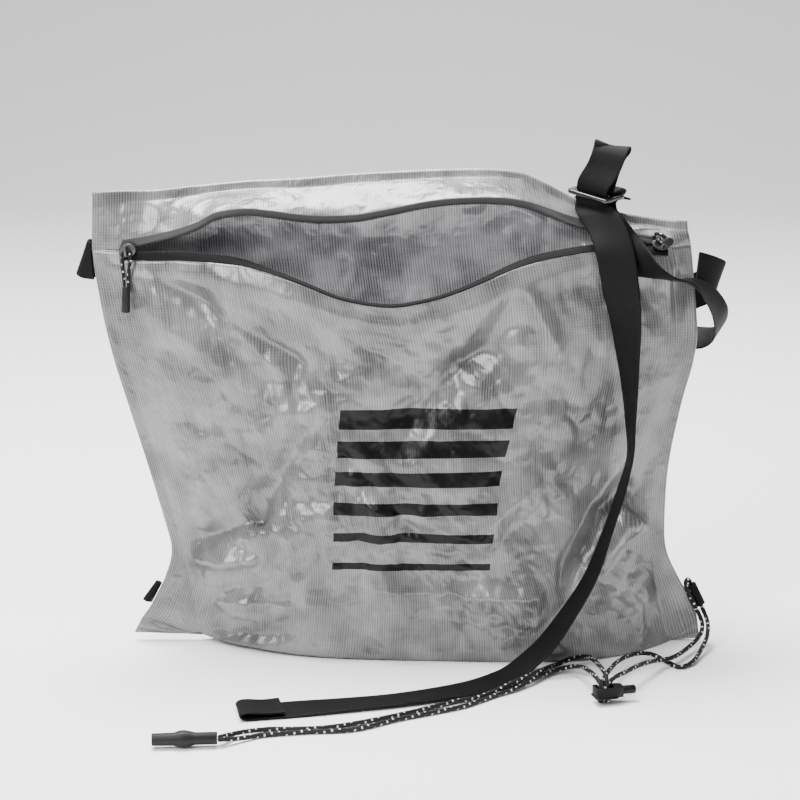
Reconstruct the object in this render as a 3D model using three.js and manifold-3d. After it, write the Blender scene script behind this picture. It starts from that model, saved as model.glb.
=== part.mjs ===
// A cycling musette bag in grey laminate, standing open on its base with its strap let down in front.
// Millimetres, +X to the wearer's right of the picture, -Y to the front, +Z up.
// The origin is on the floor under the middle of the bag, in the plane of the side seams.
import * as THREE from 'three';
import { mergeVertices } from 'three/addons/utils/BufferGeometryUtils.js';
import Module from 'manifold-3d';

const wasm = await Module();
wasm.setup();

// Driving sizes of the bag
const bagWidth = 400;
const bagHeight = 320;
const frontDepth = 50;
const backDepth = 40;
const wall = 1.2;
const seamGap = 0.3;
const seamAllowance = 7;
const baseSeamSet = 12;
const baseSeamRelief = 0.85;

// Driving sizes of the zip
const zipTapeWidth = 5.9;
const zipTapeThickness = 1.1;
const coilWidth = 1.8;
const coilThickness = 2.4;
const sliderLength = 11;
const sliderWidth = 9;
const sliderPlate = 1.6;
const pullCordDiameter = 2.2;
const pullSleeveDiameter = 5.6;
const pullSleeveLength = 17;

// Driving sizes of the webbing, the slide and the corner tabs
const webbingWidth = 25;
const webbingThickness = 1.5;
const slideBar = 3.6;
const slideThickness = 2.6;
const slideSlot = 4.8;
const slideSideClearance = 0.7;
const tabLength = 16;

// Driving sizes of the elastic cord, its lock and its end sleeve
const cordDiameter = 3;
const lockLength = 18.4;
const lockDepth = 9.8;
const lockHeight = 7.2;
const lockTaper = 1.6;
const lockFlange = 1.1;
const buttonDiameter = 5.5;
const buttonReach = 8.5;
const buttonTravel = 2.2;
const lockPressClearance = 0.3;
const runningClearance = 0.2;
const endSleeveLength = 39;
const endSleeveDiameter = 7.6;
const endKnotDiameter = 10.8;

// Colours and finishes
const laminate = () => new THREE.MeshStandardMaterial({ color: 0x8b8d8c, roughness: 0.5, metalness: 0.0 });
const coatedTape = () => new THREE.MeshStandardMaterial({ color: 0x3a3b3d, roughness: 0.55, metalness: 0.0 });
const blackWebbing = () => new THREE.MeshStandardMaterial({ color: 0x1b1b1c, roughness: 0.85, metalness: 0.0 });
const blackGloss = () => new THREE.MeshStandardMaterial({ color: 0x0d0d0e, roughness: 0.25, metalness: 0.0 });
const blackMatte = () => new THREE.MeshStandardMaterial({ color: 0x141415, roughness: 0.6, metalness: 0.0 });
const fleckedCord = () => new THREE.MeshStandardMaterial({ color: 0x1d1d1f, roughness: 0.8, metalness: 0.0 });
const greyRubber = () => new THREE.MeshStandardMaterial({ color: 0x2e2f31, roughness: 0.7, metalness: 0.0 });

const group = new THREE.Group();

function addPiece(name, geometry, material) {
  const mesh = new THREE.Mesh(geometry, material);
  mesh.name = name;
  group.add(mesh);
  return mesh;
}

const mix = THREE.MathUtils.lerp;
const clamp01 = (value) => THREE.MathUtils.clamp(value, 0, 1);
const ease = (value) => THREE.MathUtils.smoothstep(value, 0, 1);
const along = (point, direction, distance) => point.clone().addScaledVector(direction, distance);

// A named column of a table, read smoothly at a position counted in rows.
function columnAt(table, name, position) {
  const last = table.length - 1;
  const row = Math.min(Math.floor(position), last - 1);
  const t = position - row;
  const value = (index) => table[THREE.MathUtils.clamp(index, 0, last)][name];
  const before = value(row - 1);
  const start = value(row);
  const end = value(row + 1);
  const after = value(row + 2);
  const startSlope = (end - before) / 2;
  const endSlope = (after - start) / 2;
  const t2 = t * t;
  const t3 = t2 * t;
  return (2 * t3 - 3 * t2 + 1) * start + (t3 - 2 * t2 + t) * startSlope
    + (3 * t2 - 2 * t3) * end + (t3 - t2) * endSlope;
}

// The position in rows at which a rising column reaches a value.
function rowWhere(table, name, value) {
  const last = table.length - 1;
  for (let row = 0; row < last; row += 1) {
    const low = table[row][name];
    const high = table[row + 1][name];
    if (value <= high || row === last - 1) {
      return row + clamp01((value - low) / (high - low));
    }
  }
  return last;
}

// A closed mesh from points and triangles, with its faces turned outwards.
function closedGeometry(points, triangles) {
  let volume = 0;
  for (const [a, b, c] of triangles) {
    volume += points[a].dot(points[b].clone().cross(points[c]));
  }
  const geometry = new THREE.BufferGeometry();
  geometry.setAttribute('position', new THREE.Float32BufferAttribute(points.flatMap((p) => [p.x, p.y, p.z]), 3));
  geometry.setIndex(triangles.flatMap(([a, b, c]) => (volume < 0 ? [a, c, b] : [a, b, c])));
  return geometry;
}

// A closed strip or sheet: rows of outer points and rows of inner points, joined round their rim.
function closedSheet(outer, inner) {
  const rows = outer.length;
  const columns = outer[0].length;
  const points = [...outer.flat(), ...inner.flat()];
  const triangles = [];
  const outerIndex = (row, column) => row * columns + column;
  const innerIndex = (row, column) => rows * columns + row * columns + column;
  const quad = (a, b, c, d) => triangles.push([a, b, c], [a, c, d]);
  for (let row = 0; row < rows - 1; row += 1) {
    for (let column = 0; column < columns - 1; column += 1) {
      quad(outerIndex(row, column), outerIndex(row, column + 1),
        outerIndex(row + 1, column + 1), outerIndex(row + 1, column));
      quad(innerIndex(row, column), innerIndex(row + 1, column),
        innerIndex(row + 1, column + 1), innerIndex(row, column + 1));
    }
  }
  for (let row = 0; row < rows - 1; row += 1) {
    quad(outerIndex(row, 0), outerIndex(row + 1, 0), innerIndex(row + 1, 0), innerIndex(row, 0));
    quad(outerIndex(row + 1, columns - 1), outerIndex(row, columns - 1),
      innerIndex(row, columns - 1), innerIndex(row + 1, columns - 1));
  }
  for (let column = 0; column < columns - 1; column += 1) {
    quad(outerIndex(0, column + 1), outerIndex(0, column), innerIndex(0, column), innerIndex(0, column + 1));
    quad(outerIndex(rows - 1, column), outerIndex(rows - 1, column + 1),
      innerIndex(rows - 1, column + 1), innerIndex(rows - 1, column));
  }
  return closedGeometry(points, triangles);
}

// Cloth with its middle surface given as rows of points, and a thickness that may change from row to row.
function cloth(middle, thicknessOfRow) {
  const rows = middle.length;
  const columns = middle[0].length;
  const outer = [];
  const inner = [];
  for (let row = 0; row < rows; row += 1) {
    outer.push([]);
    inner.push([]);
    for (let column = 0; column < columns; column += 1) {
      const above = middle[Math.max(row - 1, 0)][column];
      const below = middle[Math.min(row + 1, rows - 1)][column];
      const left = middle[row][Math.max(column - 1, 0)];
      const right = middle[row][Math.min(column + 1, columns - 1)];
      const normal = right.clone().sub(left).cross(below.clone().sub(above)).normalize();
      const half = thicknessOfRow(row) / 2;
      outer[row].push(along(middle[row][column], normal, half));
      inner[row].push(along(middle[row][column], normal, -half));
    }
  }
  return closedSheet(outer, inner);
}

// Cross-sections of the bag from the top edge down to the base, then in under the base to its seam.
// left and right are the side seams and bodyLeft and bodyRight the edges of the filled part, as shares of
// the bag's width; height is the body's, leftHeight and rightHeight the seams', as shares of its height.
// front and back are shares of the two depths, and under is how far the row has gone in beneath the base.
// square is how square the front's plan is, skew how much fuller it is at the right than at the left, and
// lift how far its left part is raised, as a share of the height.
const sections = [
  {
    height: 1, left: -0.515, right: 0.458, leftHeight: 1, rightHeight: 1,
    bodyLeft: -0.497, bodyRight: 0.441, front: 0.60, back: 0.34, under: 0, square: 2.50, skew: 0, lift: 0,
  },
  {
    height: 0.86, left: -0.518, right: 0.465, leftHeight: 0.86, rightHeight: 0.86,
    bodyLeft: -0.50, bodyRight: 0.447, front: 0.68, back: 0.52, under: 0, square: 2.50, skew: 0, lift: 0,
  },
  {
    height: 0.75, left: -0.509, right: 0.475, leftHeight: 0.75, rightHeight: 0.75,
    bodyLeft: -0.491, bodyRight: 0.457, front: 0.72, back: 0.68, under: 0, square: 2.50, skew: 0, lift: 0,
  },
  {
    height: 0.64, left: -0.493, right: 0.479, leftHeight: 0.64, rightHeight: 0.64,
    bodyLeft: -0.475, bodyRight: 0.461, front: 0.76, back: 0.78, under: 0, square: 2.50, skew: 0, lift: 0,
  },
  {
    height: 0.515, left: -0.465, right: 0.456, leftHeight: 0.515, rightHeight: 0.515,
    bodyLeft: -0.447, bodyRight: 0.438, front: 0.82, back: 0.86, under: 0, square: 2.50, skew: 0, lift: 0,
  },
  {
    height: 0.39, left: -0.436, right: 0.438, leftHeight: 0.39, rightHeight: 0.39,
    bodyLeft: -0.418, bodyRight: 0.42, front: 0.90, back: 0.94, under: 0, square: 2.50, skew: 0.03, lift: 0,
  },
  {
    height: 0.28, left: -0.412, right: 0.4335, leftHeight: 0.28, rightHeight: 0.28,
    bodyLeft: -0.394, bodyRight: 0.416, front: 0.97, back: 0.99, under: 0, square: 2.70, skew: 0.08, lift: 0,
  },
  {
    height: 0.203, left: -0.3985, right: 0.437, leftHeight: 0.203, rightHeight: 0.205,
    bodyLeft: -0.379, bodyRight: 0.416, front: 1, back: 1, under: 0, square: 3, skew: 0.12, lift: 0,
  },
  {
    height: 0.14, left: -0.4095, right: 0.457, leftHeight: 0.144, rightHeight: 0.146,
    bodyLeft: -0.368, bodyRight: 0.42, front: 0.99, back: 1, under: 0, square: 3.40, skew: 0.16, lift: 0.004,
  },
  {
    height: 0.07, left: -0.4255, right: 0.475, leftHeight: 0.102, rightHeight: 0.106,
    bodyLeft: -0.36, bodyRight: 0.43, front: 0.96, back: 0.97, under: 0, square: 3.80, skew: 0.18, lift: 0.01,
  },
  {
    height: 0.02, left: -0.4375, right: 0.4855, leftHeight: 0.074, rightHeight: 0.078,
    bodyLeft: -0.354, bodyRight: 0.44, front: 0.92, back: 0.92, under: 0, square: 4, skew: 0.18, lift: 0.013,
  },
  {
    height: 0, left: -0.448, right: 0.4925, leftHeight: 0.056, rightHeight: 0.055,
    bodyLeft: -0.35, bodyRight: 0.45, front: 0.88, back: 0.86, under: 0, square: 4, skew: 0.18, lift: 0.013,
  },
  {
    height: 0, left: -0.457, right: 0.4955, leftHeight: 0.037, rightHeight: 0.029,
    bodyLeft: -0.35, bodyRight: 0.45, front: 0.88, back: 0.86, under: 0.50, square: 4, skew: 0.18, lift: 0.013,
  },
  {
    height: 0, left: -0.4645, right: 0.498, leftHeight: 0.019, rightHeight: 0.006,
    bodyLeft: -0.35, bodyRight: 0.45, front: 0.88, back: 0.86, under: 1, square: 4, skew: 0.18, lift: 0.013,
  },
];
const lastSection = sections.length - 1;
const baseSection = sections.findIndex((section) => section.height === 0);
const liftReach = 0.45;
const backSquareness = 2.6;

// The bag's top edge: across as a share of the width, height as a share of the height.
const topEdge = [
  { across: -0.515, height: 0.959 },
  { across: -0.470, height: 0.961 },
  { across: -0.420, height: 0.961 },
  { across: -0.350, height: 0.969 },
  { across: -0.265, height: 0.978 },
  { across: -0.175, height: 0.983 },
  { across: -0.095, height: 0.991 },
  { across: -0.012, height: 0.997 },
  { across: 0.070, height: 1.001 },
  { across: 0.135, height: 1.002 },
  { across: 0.185, height: 0.995 },
  { across: 0.228, height: 0.972 },
  { across: 0.270, height: 0.945 },
  { across: 0.320, height: 0.921 },
  { across: 0.395, height: 0.906 },
  { across: 0.458, height: 0.900 },
];

// The open zip: the upper and lower cloth edges, with forward as a share of the front depth, and how far
// each half of the tape leans in from upright, in degrees.
const zipEdges = [
  { across: -0.470, upper: 0.861, upperForward: 0.05, upperLean: 0, lower: 0.822, lowerForward: 0.05, lowerLean: 0 },
  { across: -0.444, upper: 0.866, upperForward: 0.10, upperLean: 0, lower: 0.822, lowerForward: 0.10, lowerLean: 0 },
  { across: -0.417, upper: 0.873, upperForward: 0.13, upperLean: 6, lower: 0.824, lowerForward: 0.18, lowerLean: 6 },
  { across: -0.379, upper: 0.885, upperForward: 0.20, upperLean: 14, lower: 0.827, lowerForward: 0.28, lowerLean: 16 },
  { across: -0.340, upper: 0.903, upperForward: 0.28, upperLean: 22, lower: 0.827, lowerForward: 0.38, lowerLean: 26 },
  { across: -0.310, upper: 0.923, upperForward: 0.32, upperLean: 30, lower: 0.827, lowerForward: 0.48, lowerLean: 36 },
  { across: -0.265, upper: 0.931, upperForward: 0.34, upperLean: 34, lower: 0.822, lowerForward: 0.56, lowerLean: 52 },
  { across: -0.227, upper: 0.926, upperForward: 0.28, upperLean: 34, lower: 0.811, lowerForward: 0.66, lowerLean: 68 },
  { across: -0.190, upper: 0.919, upperForward: 0.24, upperLean: 30, lower: 0.798, lowerForward: 0.74, lowerLean: 78 },
  { across: -0.154, upper: 0.914, upperForward: 0.20, upperLean: 26, lower: 0.782, lowerForward: 0.80, lowerLean: 84 },
  { across: -0.117, upper: 0.914, upperForward: 0.20, upperLean: 26, lower: 0.764, lowerForward: 0.84, lowerLean: 86 },
  { across: -0.080, upper: 0.917, upperForward: 0.22, upperLean: 28, lower: 0.753, lowerForward: 0.86, lowerLean: 86 },
  { across: -0.043, upper: 0.926, upperForward: 0.26, upperLean: 32, lower: 0.747, lowerForward: 0.88, lowerLean: 86 },
  { across: -0.012, upper: 0.934, upperForward: 0.28, upperLean: 34, lower: 0.747, lowerForward: 0.88, lowerLean: 86 },
  { across: 0.023, upper: 0.943, upperForward: 0.30, upperLean: 36, lower: 0.755, lowerForward: 0.88, lowerLean: 86 },
  { across: 0.056, upper: 0.949, upperForward: 0.30, upperLean: 38, lower: 0.765, lowerForward: 0.86, lowerLean: 84 },
  { across: 0.091, upper: 0.952, upperForward: 0.30, upperLean: 40, lower: 0.780, lowerForward: 0.84, lowerLean: 80 },
  { across: 0.127, upper: 0.953, upperForward: 0.30, upperLean: 40, lower: 0.798, lowerForward: 0.80, lowerLean: 72 },
  { across: 0.161, upper: 0.951, upperForward: 0.29, upperLean: 38, lower: 0.815, lowerForward: 0.74, lowerLean: 62 },
  { across: 0.196, upper: 0.943, upperForward: 0.28, upperLean: 34, lower: 0.829, lowerForward: 0.68, lowerLean: 50 },
  { across: 0.232, upper: 0.928, upperForward: 0.26, upperLean: 12, lower: 0.838, lowerForward: 0.60, lowerLean: 50 },
  { across: 0.267, upper: 0.912, upperForward: 0.21, upperLean: -10, lower: 0.844, lowerForward: 0.52, lowerLean: 50 },
  { across: 0.296, upper: 0.900, upperForward: 0.16, upperLean: -26, lower: 0.848, lowerForward: 0.46, lowerLean: 52 },
  { across: 0.332, upper: 0.885, upperForward: 0.11, upperLean: -40, lower: 0.849, lowerForward: 0.40, lowerLean: 54 },
  { across: 0.374, upper: 0.871, upperForward: 0.085, upperLean: -48, lower: 0.843, lowerForward: 0.32, lowerLean: 51 },
  { across: 0.400, upper: 0.866, upperForward: 0.08, upperLean: -47, lower: 0.838, lowerForward: 0.275, lowerLean: 47 },
  { across: 0.425, upper: 0.862, upperForward: 0.06, upperLean: -46, lower: 0.8355, lowerForward: 0.24, lowerLean: 46 },
];
const zipStart = zipEdges[0].across * bagWidth;
const zipEnd = zipEdges[zipEdges.length - 1].across * bagWidth;
const zipEndStep = 0.6;

// The main folds of the front: ends as shares of the width and height, reach and rise as shares of the
// front depth, rise being positive for a ridge and negative for a valley.
const frontFolds = [
  { fromAcross: -0.40, fromHeight: 0.19, toAcross: -0.24, toHeight: 0.345, reach: 0.34, rise: -0.12 },
  { fromAcross: -0.24, fromHeight: 0.345, toAcross: -0.17, toHeight: 0.47, reach: 0.40, rise: -0.08 },
  { fromAcross: -0.38, fromHeight: 0.185, toAcross: -0.26, toHeight: 0.205, reach: 0.26, rise: 0.07 },
  { fromAcross: -0.30, fromHeight: 0.245, toAcross: -0.05, toHeight: 0.30, reach: 0.44, rise: 0.09 },
  { fromAcross: -0.42, fromHeight: 0.78, toAcross: -0.18, toHeight: 0.58, reach: 0.44, rise: -0.10 },
  { fromAcross: -0.33, fromHeight: 0.77, toAcross: -0.24, toHeight: 0.70, reach: 0.44, rise: 0.09 },
  { fromAcross: 0.00, fromHeight: 0.52, toAcross: 0.17, toHeight: 0.70, reach: 0.52, rise: -0.08 },
  { fromAcross: -0.10, fromHeight: 0.42, toAcross: 0.10, toHeight: 0.36, reach: 0.60, rise: 0.07 },
  { fromAcross: 0.435, fromHeight: 0.48, toAcross: 0.36, toHeight: 0.33, reach: 0.34, rise: -0.14 },
  { fromAcross: 0.36, fromHeight: 0.33, toAcross: 0.28, toHeight: 0.20, reach: 0.34, rise: -0.16 },
  { fromAcross: 0.415, fromHeight: 0.40, toAcross: 0.385, toHeight: 0.29, reach: 0.20, rise: -0.16 },
  { fromAcross: 0.37, fromHeight: 0.27, toAcross: 0.32, toHeight: 0.20, reach: 0.18, rise: 0.10 },
];

// The soft folds of the back, which the wearer's body presses flat.
const backFolds = [
  { fromAcross: -0.36, fromHeight: 0.25, toAcross: -0.10, toHeight: 0.42, reach: 0.60, rise: -0.12 },
  { fromAcross: 0.36, fromHeight: 0.28, toAcross: 0.12, toHeight: 0.50, reach: 0.60, rise: -0.12 },
  { fromAcross: -0.15, fromHeight: 0.66, toAcross: 0.20, toHeight: 0.62, reach: 0.70, rise: 0.10 },
];

function topHeightAt(across) {
  return columnAt(topEdge, 'height', rowWhere(topEdge, 'across', across));
}

function foldRise(folds, across, height, depth) {
  let rise = 0;
  for (const fold of folds) {
    const runX = (fold.toAcross - fold.fromAcross) * bagWidth;
    const runZ = (fold.toHeight - fold.fromHeight) * bagHeight;
    const x = (across - fold.fromAcross) * bagWidth;
    const z = (height - fold.fromHeight) * bagHeight;
    const t = clamp01((x * runX + z * runZ) / (runX * runX + runZ * runZ));
    const distance = Math.hypot(x - t * runX, z - t * runZ);
    const nearness = Math.max(0, 1 - (distance / (fold.reach * depth)) ** 2);
    rise += fold.rise * depth * nearness * nearness;
  }
  return rise;
}

// A point of the bag's cloth: side is -1 for the front and 1 for the back, u runs from the left seam to
// the right seam, and position counts the section rows from the top edge to the seam under the base.
function bodyPoint(side, u, position) {
  const read = (name) => columnAt(sections, name, position);
  const left = read('left');
  const right = read('right');
  const across = mix(left, right, u);
  const bodyLeft = read('bodyLeft');
  const bodyRight = read('bodyRight');
  const filled = clamp01((across - bodyLeft) / (bodyRight - bodyLeft));
  const squareness = side < 0 ? read('square') : backSquareness;
  const fullness = 1 - Math.abs(2 * filled - 1) ** squareness;
  const lift = read('lift') * clamp01(1 - filled / liftReach) ** 2;
  const fromSeam = across < (bodyLeft + bodyRight) / 2
    ? ease((across - left) / Math.max(bodyLeft - left, seamAllowance / bagWidth))
    : ease((right - across) / Math.max(right - bodyRight, seamAllowance / bagWidth));
  const seamHeight = mix(read('leftHeight'), read('rightHeight'), u);
  const bodyHeight = Math.max(read('height'), wall / 2 / bagHeight) + lift;
  const openness = clamp01((bodyHeight - 0.6) / 0.4);
  const topDrop = (1 - topHeightAt(across)) * openness * openness;
  const height = mix(seamHeight, bodyHeight, fromSeam) - topDrop;
  const skew = 1 + read('skew') * (2 * filled - 1);
  const depth = side < 0 ? frontDepth * read('front') * skew : backDepth * read('back');
  const under = clamp01(read('under'));
  const folds = side < 0 ? frontFolds : backFolds;
  const rise = foldRise(folds, across, height, side < 0 ? frontDepth : backDepth);
  const foldShare = Math.min(1, 4 * fullness) * clamp01(height / 0.12) * clamp01((0.93 - height) / 0.12);
  const outward = depth * fullness + rise * foldShare;
  const seamPlane = side * ((wall + seamGap) / 2 + baseSeamRelief * under);
  const baseSeam = baseSeamSet * ease(3 * (1 - Math.abs(2 * filled - 1) ** backSquareness));
  const x = across * bagWidth;
  const y = mix(seamPlane + side * outward, seamPlane + baseSeam, under);
  return new THREE.Vector3(x, y, height * bagHeight);
}

function zipPoint(half, x) {
  const inside = THREE.MathUtils.clamp(x, zipStart, zipEnd) / bagWidth;
  const row = rowWhere(zipEdges, 'across', inside);
  const forward = columnAt(zipEdges, `${half}Forward`, row);
  const seamPlane = -(wall + seamGap) / 2;
  return new THREE.Vector3(x, seamPlane - forward * frontDepth, columnAt(zipEdges, half, row) * bagHeight);
}

// Beyond the zip's ends the two cloth edges meet on the middle line of the closed zip.
function clothEdge(half, x) {
  const point = zipPoint(half, x);
  if (x < zipStart || x > zipEnd) {
    const other = zipPoint(half === 'upper' ? 'lower' : 'upper', x);
    const middle = (point.z + other.z) / 2;
    const fade = x < zipStart ? (x - leftTop) / (zipStart - leftTop) : (rightTop - x) / (rightTop - zipEnd);
    const seamPlane = -(wall + seamGap) / 2;
    point.z = middle + (half === 'upper' ? seamGap / 2 : -seamGap / 2);
    point.y = mix(seamPlane, (point.y + other.y) / 2, ease(clamp01(fade)));
  }
  return point;
}

// Columns of the front follow the zip's table, with its ends and the side seams added.
const leftTop = sections[1].left * bagWidth;
const rightTop = sections[1].right * bagWidth;
const columnPlaces = [
  leftTop,
  leftTop + seamAllowance,
  zipStart - zipEndStep,
  ...zipEdges.map((edge) => edge.across * bagWidth),
  zipEnd + zipEndStep,
  rightTop - seamAllowance,
  rightTop,
];
const shareOf = (x) => (x - leftTop) / (rightTop - leftTop);

// Front panel: its top rows bend from the measured zip edge into the body of the bag
const lipPosition = 1.7;
const lipBlendEnd = 3.4;
const frontRows = [1.7, 2.0, 2.4, 2.9, 3.5, 4.2, 4.9, 5.6, 6.3, 6.9, 7.5, 8.1, 8.8, 9.6, 10.4, 11.2, 13];

function frontPoint(x, position) {
  const u = shareOf(x);
  const point = bodyPoint(-1, u, position);
  if (position < lipBlendEnd) {
    const share = (lipBlendEnd - position) / (lipBlendEnd - lipPosition);
    const offset = clothEdge('lower', x).sub(bodyPoint(-1, u, lipPosition));
    point.addScaledVector(offset, share ** 1.5);
  }
  return point;
}

const frontPanel = frontRows.map((position) => columnPlaces.map((x) => frontPoint(x, position)));
addPiece('front_panel', cloth(frontPanel, () => wall), laminate());

// Back panel: from the top edge down and in under the base
const backColumns = 20;
const backRows = [0, 0.12, 0.6, 1.4, 2.2, 3, 3.8, 4.6, 5.4, 6.2, 6.9, 7.5, 8.1, 8.8, 9.6, 10.4, 11.2, 13];

function backPoint(u, position) {
  const point = bodyPoint(1, u, position);
  const under = clamp01(columnAt(sections, 'under', position));
  if (under > 0) {
    point.y = mix(bodyPoint(1, u, baseSection).y, bodyPoint(1, u, lastSection).y, under);
  }
  return point;
}

const backPanel = backRows.map((position) => {
  const row = [];
  for (let column = 0; column <= backColumns; column += 1) {
    row.push(backPoint(column / backColumns, position));
  }
  return row;
});
addPiece('back_panel', cloth(backPanel, () => wall), laminate());

// Top panel: the strip between the zip and the top edge, ending in a flange sewn to the back panel
const topFlange = 5;
const topRows = [0, 0.3, 0.6, 1];

function topPanelRow(share) {
  return columnPlaces.map((x) => {
    const edge = clothEdge('upper', x);
    const back = bodyPoint(1, shareOf(x), 0);
    const flangeFoot = new THREE.Vector3(back.x, back.y - wall - seamGap, back.z - topFlange);
    const point = edge.lerp(flangeFoot, share);
    point.y -= Math.sin(share * Math.PI) * topFlange / 2 * ease(clamp01((x - leftTop) / (4 * seamAllowance)));
    return point;
  });
}

const topRidge = columnPlaces.map((x) => {
  const back = bodyPoint(1, shareOf(x), 0);
  return new THREE.Vector3(back.x, back.y - wall - seamGap, back.z);
});
addPiece('top_panel', cloth([...topRows.map(topPanelRow), topRidge], () => wall), laminate());

// Zip tapes: each half runs from its cloth edge to its row of coils
function tapeRows(half) {
  const sign = half === 'upper' ? -1 : 1;
  const places = zipEdges.map((edge) => edge.across * bagWidth);
  places[0] += seamGap;
  places[places.length - 1] -= seamGap;
  const start = wall / 2 + seamGap;
  const steps = [start, zipTapeWidth - coilWidth - 0.1, zipTapeWidth - coilWidth, zipTapeWidth];
  return steps.map((distance) => places.map((x) => {
    const row = rowWhere(zipEdges, 'across', x / bagWidth);
    const lean = THREE.MathUtils.degToRad(columnAt(zipEdges, `${half}Lean`, row));
    const direction = new THREE.Vector3(0, Math.sin(lean), sign * Math.cos(lean));
    return along(zipPoint(half, x), direction, distance);
  }));
}

const tapeThicknessOfRow = (row) => (row < 2 ? zipTapeThickness : coilThickness);
addPiece('zip_tape_upper', cloth(tapeRows('upper'), tapeThicknessOfRow), coatedTape());
addPiece('zip_tape_lower', cloth(tapeRows('lower'), tapeThicknessOfRow), coatedTape());

// Solids from closed meshes, for the pieces that are cut
function solidOf(geometry) {
  const bare = geometry.clone();
  bare.deleteAttribute('normal');
  bare.deleteAttribute('uv');
  const merged = mergeVertices(bare, 1e-4);
  return new wasm.Manifold(new wasm.Mesh({
    numProp: 3,
    vertProperties: new Float32Array(merged.attributes.position.array),
    triVerts: new Uint32Array(merged.index.array),
  }));
}

function geometryOf(solid) {
  const mesh = solid.getMesh();
  const geometry = new THREE.BufferGeometry();
  geometry.setAttribute('position', new THREE.BufferAttribute(new Float32Array(mesh.vertProperties), 3));
  geometry.setIndex(new THREE.BufferAttribute(new Uint32Array(mesh.triVerts), 1));
  return geometry;
}

// Zip sliders: two plates joined by a wedge between the coils, with a bail on the front plate
const bailWire = 1.1;
const bailReach = 5.8;
const bailHeight = 7;
const sliderClearance = 0.45;
const wedgeWidth = 0.8;
const wedgeLength = 1.6;

// The coil edge of one half of the zip at a place along it.
function coilEdge(half, x) {
  const sign = half === 'upper' ? -1 : 1;
  const row = rowWhere(zipEdges, 'across', x / bagWidth);
  const lean = THREE.MathUtils.degToRad(columnAt(zipEdges, `${half}Lean`, row));
  const direction = new THREE.Vector3(0, Math.sin(lean), sign * Math.cos(lean));
  return along(zipPoint(half, x), direction, zipTapeWidth);
}

function addSlider(name, x, openSide) {
  const plateAt = coilThickness / 2 + sliderClearance + sliderPlate / 2;
  const outline = new THREE.Shape();
  outline.absellipse(0, 0, sliderLength / 2, sliderWidth / 2, 0, Math.PI * 2);
  const plateOptions = { depth: sliderPlate, bevelEnabled: false, curveSegments: 8 };
  const plate = (y) => new THREE.ExtrudeGeometry(outline, plateOptions)
    .translate(0, 0, -sliderPlate / 2)
    .rotateX(Math.PI / 2)
    .translate(0, y, 0);
  const wedgeAt = openSide * (sliderLength / 2 - wedgeLength);
  const wedge = new THREE.BoxGeometry(wedgeLength, 2 * plateAt, wedgeWidth).translate(wedgeAt, 0, 0);
  const bailAt = -(plateAt + bailReach / 2);
  const hoop = new THREE.BoxGeometry(1.5 * bailWire, bailReach, bailHeight).translate(0, bailAt, 0);
  const eye = new THREE.BoxGeometry(2 * bailWire, bailReach - 2 * bailWire, bailHeight - 2 * bailWire)
    .translate(0, bailAt, 0);
  const solid = solidOf(plate(-plateAt))
    .add(solidOf(plate(plateAt)))
    .add(solidOf(wedge))
    .add(solidOf(hoop).subtract(solidOf(eye)));
  const centre = coilEdge('upper', x).lerp(coilEdge('lower', x), 0.5);
  const ahead = coilEdge('upper', x + wedgeLength).lerp(coilEdge('lower', x + wedgeLength), 0.5);
  const lengthwise = ahead.sub(centre).normalize();
  const upwards = zipPoint('upper', x).sub(zipPoint('lower', x));
  const inwards = upwards.clone().cross(lengthwise).normalize();
  upwards.crossVectors(lengthwise, inwards);
  const mesh = addPiece(name, geometryOf(solid), blackGloss());
  mesh.position.copy(centre);
  mesh.quaternion.setFromRotationMatrix(new THREE.Matrix4().makeBasis(lengthwise, inwards, upwards));
}

addSlider('slider_left', zipStart + sliderLength / 2 + seamGap, 1);
addSlider('slider_right', zipEnd - sliderLength / 2 - seamGap, -1);

// A cord along hand-chosen points, as a tube with flat ends.
const cordSides = 8;

function cordTube(points, diameter, steps) {
  const path = new THREE.CatmullRomCurve3(points.map((point) => new THREE.Vector3(...point)), false, 'centripetal');
  const section = new THREE.Shape();
  for (let side = 0; side < cordSides; side += 1) {
    const angle = (side + 0.5) * 2 * Math.PI / cordSides;
    const x = Math.cos(angle) * diameter / 2;
    const y = Math.sin(angle) * diameter / 2;
    if (side === 0) {
      section.moveTo(x, y);
    } else {
      section.lineTo(x, y);
    }
  }
  section.closePath();
  return new THREE.ExtrudeGeometry(section, { steps, extrudePath: path, bevelEnabled: false });
}

// A round piece standing on one point and pointing to another.
function placeAlong(mesh, from, direction) {
  mesh.position.copy(from);
  mesh.quaternion.setFromUnitVectors(new THREE.Vector3(0, 1, 0), direction.clone().normalize());
}

// Zip pulls: a doubled cord through the bail, held in a rubber sleeve
const pullCordLeft = [
  [-185.4, -10.6, 246.3], [-186.0, -10.6, 256.0], [-186.4, -10.3, 264.0], [-186.2, -9.9, 267.8],
  [-183.8, -9.8, 269.7],
  [-181.4, -9.7, 267.8], [-181.2, -10.0, 264.0], [-182.2, -10.5, 256.0], [-182.8, -10.6, 246.3],
];
const pullCordRight = [
  [168.1, -17.7, 278.6], [164.4, -17.2, 281.2], [161.0, -15.6, 281.8], [160.0, -13.4, 279.0], [161.4, -12.4, 276.4],
  [164.2, -12.2, 275.7],
  [167.6, -12.6, 275.9], [170.2, -14.4, 276.4], [170.6, -17.0, 276.6], [169.6, -18.2, 276.4],
];
const pulls = [
  { side: 'left', cord: pullCordLeft, top: [-184.1, -10.6, 245.9], towards: [-0.05, -0.05, -1] },
  { side: 'right', cord: pullCordRight, top: [168.8, -19.2, 277.4], towards: [-0.08, -0.98, 0.12] },
];
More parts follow.
